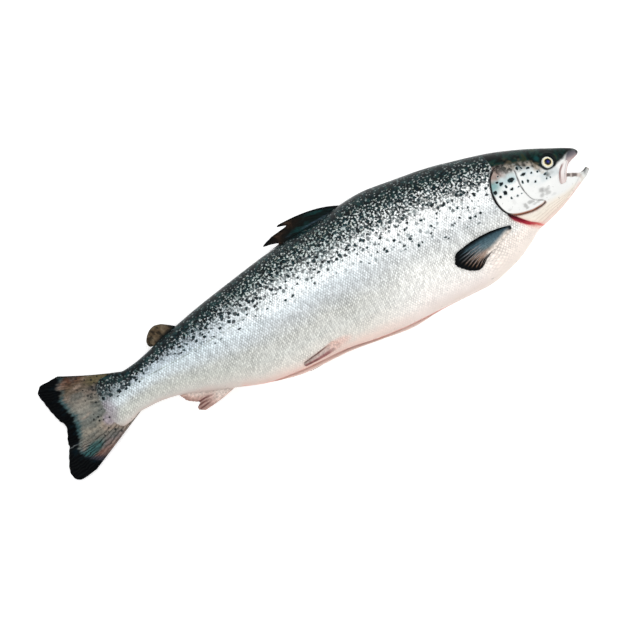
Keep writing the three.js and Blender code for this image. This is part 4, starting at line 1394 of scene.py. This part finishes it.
def makePlate(name, node, plan, side):
    # A thin bone plate over the cheek, between its front and back edges, with a rounded rim.
    across, along = plan["across"], plan["along"]
    back, front = pathThrough(plan["back"], along)[:, None], pathThrough(plan["front"], along)[:, None]
    v = np.linspace(0, 1, across)
    u = np.linspace(0, 1, along)[:, None] + 0 * v
    x, y = blend(front[..., 0], back[..., 0], v), blend(front[..., 1], back[..., 1], v)
    wide = np.linalg.norm(back - front, axis=-1)
    fromBack, fromFront = (1 - v) * wide, v * wide
    fromEnds = np.minimum(u, 1 - u) * plan["length"]
    rim = np.minimum(np.minimum(fromBack, fromEnds), fromFront + plan["frontSoft"])
    full = np.sqrt(np.clip(1 - (1 - np.clip(rim / plan["rim"], 0, 1)) ** 2, 0, 1))
    top = blend(plan["frontLift"], plan["backLift"], v ** 1.5) - plan["thick"] * 0.5 * (1 - full)
    top = top + 0.12 * wander(x, y, 6, plan["seed"] + side)
    top = top + plan["swell"] * np.sin(math.pi * v) * np.sin(math.pi * u)
    under = top - plan["thick"] * (0.08 + 0.92 * full)
    points = [np.stack([x, y, skinPoint(x, y, side, lift)], -1).reshape(-1, 3) for lift in (top, under)]
    turn = side > 0
    faces = twoSkins(along, across, not turn) + rimFaces(along, across, turn)
    marks = skinMarks(x, y, side)
    marks["tint"] = plan["paint"](marks["tint"], x, y, fromBack, fromFront, u)
    marks["cheekSpots"] = marks["cheekSpots"] * plan["spots"] * ramp(fromBack, 1.2, 2.2)
    for key in ("scales", "dense", "sparse"):
        marks[key] = 0 * x
    marks = {key: twice(values) for key, values in marks.items()}
    flank = flankMap(x, roundAt(x, angleAt(x, y)), side)
    piece = addPiece(name, np.concatenate(points), faces, marks, {"flank": np.concatenate([flank, flank])})
    finishPiece(piece, node, plateSkin)


def paintCover(tint, x, y, fromBack, fromFront, u):
    # A near-black rim along the cover's back edge: partly its own dark margin, partly painted shadow over the
    # gap under it.
    black = fall(fromBack, 1.3, 2.3) * fall(-y, 24, 30) * ramp(u, 0.0, 0.05)
    tint = paint(tint, (2, 2, 4), black * (1 - 0.4 * ramp(y, 30, 34)))
    brown = fall(fromBack, 0.6, 3.4) * ramp(-y, 24, 30) * (1 - 0.8 * ramp(x, 296, 305))
    tint = paint(tint, (140, 82, 54), 0.95 * brown * ramp(wander(x, y, 7, 92), -0.9, 0.0))
    # A grey line of painted shade along the crease at the cover's front edge.
    line = fall(fromFront, 0.2, 0.9) * (0.7 - 0.6 * ramp(-y, 0, 9)) * fall(y, 18, 24)
    return paint(tint, (110, 108, 110), line)


def paintJaw(tint, x, y, fromBack, fromFront, u):
    tint = blend(tint, linear(240, 234, 232), 0.85)
    tint = paint(tint, (224, 206, 202), ramp(u, 0.45, 0.9) * 0.7)
    line = fall(np.abs(fromBack - 1.0), 0.9, 2.0)
    tint = paint(tint, (150, 120, 116), line * (0.9 - 0.55 * ramp(u, 0.6, 1)) * ramp(u, 0.1, 0.3))
    tint = paint(tint, (150, 140, 142), fall(np.abs(fromFront - 2.4), 0.2, 1.0) * 0.45 * fall(u, 0.7, 0.95))
    return paint(tint, (196, 160, 152), fall(fromFront, 0.3, 1.4) * 0.6)


gillCover = {
    "back": [(288, 30), (280, 33.8), (270, 34.3), (262, 30), (257, 24), (252.6, 12), (251.6, 2), (252, -8),
             (254.5, -17), (259, -24), (268, -29.5), (278, -32.2), (290, -33.6), (302, -32.6), (307, -30.6)],
    "front": [(289, 29), (290.2, 24), (290, 16), (289, 8), (288.6, 0), (289, -6), (290.4, -12), (292.6, -18),
              (296, -22.4), (301, -25.8), (307.4, -29)],
    "across": 46, "along": 96, "length": 100, "frontSoft": 0.5, "frontLift": 0.0, "backLift": 1.3,
    "thick": 1.5, "rim": 0.9, "swell": 0.5, "seed": 91, "spots": 1.0, "paint": paintCover,
}
jawPlate = {
    "back": [(353.5, 4.6), (348.5, 2.4), (345, 0), (340, -5.2), (336.6, -12), (334.8, -18), (335.6, -20.6)],
    "front": [(355.6, 3.2), (356, 0.2), (353, -3.6), (349.6, -8), (347.2, -12.4), (344.2, -18), (341, -21)],
    "across": 22, "along": 60, "length": 27, "frontSoft": 0.0, "frontLift": 0.9, "backLift": 1.1,
    "thick": 1.3, "rim": 0.9, "swell": 0.5, "seed": 93, "spots": 0.0, "paint": paintJaw,
}
for label, side in (("Right", 1), ("Left", -1)):
    makePlate("gillCover" + label, "gill_cover_" + label.lower(), gillCover, side)
    makePlate("jawPlate" + label, "jaw_plate_" + label.lower(), jawPlate, side)

eye = {
    "radius": 8.6, "iris": 7.6, "pupil": 4.2, "rise": 0.9, "drop": 3.5, "roundness": 2.6, "lens": 0.35,
    "depth": 3.8, "lowest": 0.3, "rings": 34, "sectors": 96,
}
# Colours outwards from the blue middle of the pupil to the dark skin round the iris.
eyeTints = [
    (0, (22, 34, 150)), (1.2, (16, 24, 110)), (2.2, (4, 6, 22)), (eye["pupil"] - 0.1, (2, 2, 4)),
    (eye["pupil"] + 0.4, (190, 168, 112)), (5.1, (250, 240, 200)), (6.2, (248, 242, 220)),
    (eye["iris"] - 0.3, (222, 226, 222)), (eye["iris"] + 0.4, (24, 32, 34)), (eye["radius"], (10, 14, 16)),
]


def makeEyeLook():
    material, tree, shader = startMaterial("eyeSurface")
    polar = put(tree, "ShaderNodeUVMap", uv_map="polar").outputs["UV"]
    streak = noise(tree, vectorProduct(tree, polar, (36.0, 3.0, 1.0)), 1.0, 3.0)["Fac"]
    grey = greyOf(tree, mapTo(tree, streak, 0.25, 0.75, 0.82, 1.14))
    feed(tree, shader.inputs["Base Color"], mixTint(tree, 1.0, mark(tree, "tint", "Color"), grey, "MULTIPLY"))
    feed(tree, shader.inputs["Roughness"], mapTo(tree, streak, 0.3, 0.7, 0.2, 0.3))
    setShine(shader, 0.15, 0.25, 0.04)
    return material


eyeSurface = makeEyeLook()


def makeEye(name, node, side):
    ex, ey = head["eye"]
    ez = float(skinPoint(ex, ey, side))
    slopeX = float(skinPoint(ex + 2, ey, side) - skinPoint(ex - 2, ey, side)) / 4
    slopeY = float(skinPoint(ex, ey + 2, side) - skinPoint(ex, ey - 2, side)) / 4
    normal = np.array([-slopeX, -slopeY, 1.0]) * side
    normal /= np.linalg.norm(normal)
    east = np.cross([0, 1, 0], normal) * side
    east /= np.linalg.norm(east)
    north = np.cross(normal, east) * side
    around = np.linspace(0, 2 * math.pi, eye["sectors"], endpoint=False)
    r = np.linspace(0.02, 1, eye["rings"])[:, None] * eye["radius"]
    dome = eye["rise"] - eye["drop"] * (r / eye["radius"]) ** eye["roundness"]
    dome += eye["lens"] * fall(r, 0, eye["iris"])
    # Out over the dome, then in again under it.
    radius = np.concatenate([r, r[::-1]]) + 0 * around
    height = np.concatenate([dome, 0 * r - eye["depth"]]) + 0 * around
    grid = (np.array([ex, ey, ez]) + (radius * np.cos(around))[..., None] * east
            + (radius * np.sin(around))[..., None] * north + height[..., None] * normal)
    grid[..., 2] = np.maximum(grid[..., 2], eye["lowest"])
    uneven = 0.35 * wander(3 * np.cos(around) + radius * 0.2, 3 * np.sin(around)[None], 1.4, 95)
    tint = ladder(radius + uneven, eyeTints)
    count, sectors = radius.size, eye["sectors"]
    faces = list(gridFaces(len(grid), sectors, True, 0, side < 0))
    first, last = range(sectors), range(count - sectors, count)
    faces.append(tuple(first) if side < 0 else tuple(reversed(first)))
    faces.append(tuple(reversed(last)) if side < 0 else tuple(last))
    polar = np.stack([np.broadcast_to(around / (2 * math.pi), radius.shape), radius / 8], -1)
    piece = addPiece(name, grid.reshape(-1, 3), faces, {"tint": tint.reshape(-1, 3)}, {"polar": polar})
    finishPiece(piece, node, eyeSurface)


makeEye("eyeRight", "eye_right", 1)
makeEye("eyeLeft", "eye_left", -1)

tongue = {
    "from": 334, "to": 361, "width": 5.0, "height": 2.6, "top": -13.6, "droop": 2.2, "groove": 0.7,
    "rings": 40, "sides": 32, "tint": linear(222, 150, 142), "darkTint": linear(176, 96, 96),
}


def makeFlesh(name, base, dark):
    material, tree, shader = startMaterial(name)
    where = put(tree, "ShaderNodeTexCoord").outputs["Object"]
    grain = noise(tree, where, 420.0, 4.0, dimensions="3D")["Fac"]
    feed(tree, shader.inputs["Base Color"], mixTint(tree, mapTo(tree, grain, 0.35, 0.7), base, dark))
    feed(tree, shader.inputs["Roughness"], mapTo(tree, grain, 0.3, 0.7, 0.24, 0.42))
    setBump(tree, shader, grain, 0.4, 0.0004)
    setShine(shader, 0.5, 0.3, 0.1)
    return material


def makeTongue():
    rings, sides = tongue["rings"], tongue["sides"]
    t = np.linspace(0, 1, rings)[:, None]
    around = np.linspace(0, 2 * math.pi, sides, endpoint=False)
    swell = np.sqrt(np.clip(1 - (2 * t - 1) ** 4, 0, 1)) * (1 - 0.25 * t) + 0.02
    x = blend(tongue["from"], tongue["to"], t) + 0 * around
    groove = tongue["groove"] * hill(np.sin(around), 0, 0.25) * (np.cos(around) > 0) * np.sin(math.pi * t)
    y = tongue["top"] - tongue["height"] * (1 - swell * np.cos(around)) - groove - tongue["droop"] * t
    z = centre(x) + tongue["width"] * swell * np.sin(around)
    faces = list(gridFaces(rings, sides, wrap=True))
    faces += [tuple(reversed(range(sides))), tuple(range((rings - 1) * sides, rings * sides))]
    piece = addPiece("fishTongue", np.stack([x, y, z], -1), faces)
    finishPiece(piece, "tongue", makeFlesh("tongueFlesh", tongue["tint"], tongue["darkTint"]))


makeTongue()


# stage, light and camera

floorMaterial, _, floorShader = startMaterial("paleFloor")
floorShader.inputs["Base Color"].default_value = (0.9, 0.9, 0.9, 1)
floorShader.inputs["Roughness"].default_value = 0.9
floorShader.inputs["Specular IOR Level"].default_value = 0.1
floorShader.inputs["Emission Color"].default_value = (1, 1, 1, 1)
floorShader.inputs["Emission Strength"].default_value = 0.42
floorMesh = bpy.data.meshes.new("floor")
floorMesh.from_pydata([(-6, -6, 0), (6, -6, 0), (6, 6, 0), (-6, 6, 0)], [], [(0, 1, 2, 3)])
floor = bpy.data.objects.new("floor", floorMesh)
floor.data.materials.append(floorMaterial)
bpy.context.scene.collection.objects.link(floor)

lightPlan = {
    "backSoftbox": {"at": (0.0, 0.75, 1.7), "size": (1.7, 1.0), "power": 13.8},
    "bellySoftbox": {"at": (0.1, -1.7, 1.3), "size": (1.8, 1.2), "power": 7},
    "tailSoftbox": {"at": (-1.9, 0.2, 1.2), "size": (1.2, 1.2), "power": 7},
    "headSoftbox": {"at": (1.9, 0.2, 1.2), "size": (1.2, 1.2), "power": 7},
}
for name, plan in lightPlan.items():
    data = bpy.data.lights.new(name, "AREA")
    data.shape = "RECTANGLE"
    data.size, data.size_y = plan["size"]
    data.energy = plan["power"]
    lamp = bpy.data.objects.new(name, data)
    lamp.location = plan["at"]
    lamp.visible_camera = False
    lamp.rotation_mode = "QUATERNION"
    lamp.rotation_quaternion = Vector(plan["at"]).to_track_quat("Z", "Y")
    bpy.context.scene.collection.objects.link(lamp)

world = bpy.data.worlds.new("studio")
world.use_nodes = True
world.node_tree.nodes["Background"].inputs["Color"].default_value = (1, 1, 1, 1)
world.node_tree.nodes["Background"].inputs["Strength"].default_value = 0.55
bpy.context.scene.world = world
bpy.context.scene.view_settings.view_transform = "Standard"

view = {"width": 0.785, "lens": 400, "sensor": 36, "roll": -27, "aim": (-13.3, -24.8)}
cameraRise = view["width"] * view["lens"] / view["sensor"]
camera = bpy.data.objects.new("camera", bpy.data.cameras.new("camera"))
camera.data.lens = view["lens"]
camera.data.sensor_width = view["sensor"]
aimX, aimY = home[0] + view["aim"][0] * mm, home[1] + view["aim"][1] * mm
camera.location = (aimX, aimY, bodyHigh.z / 2 + cameraRise)
camera.rotation_euler = (0, 0, math.radians(view["roll"]))
bpy.context.scene.collection.objects.link(camera)
bpy.context.scene.camera = camera

print("all pieces made")
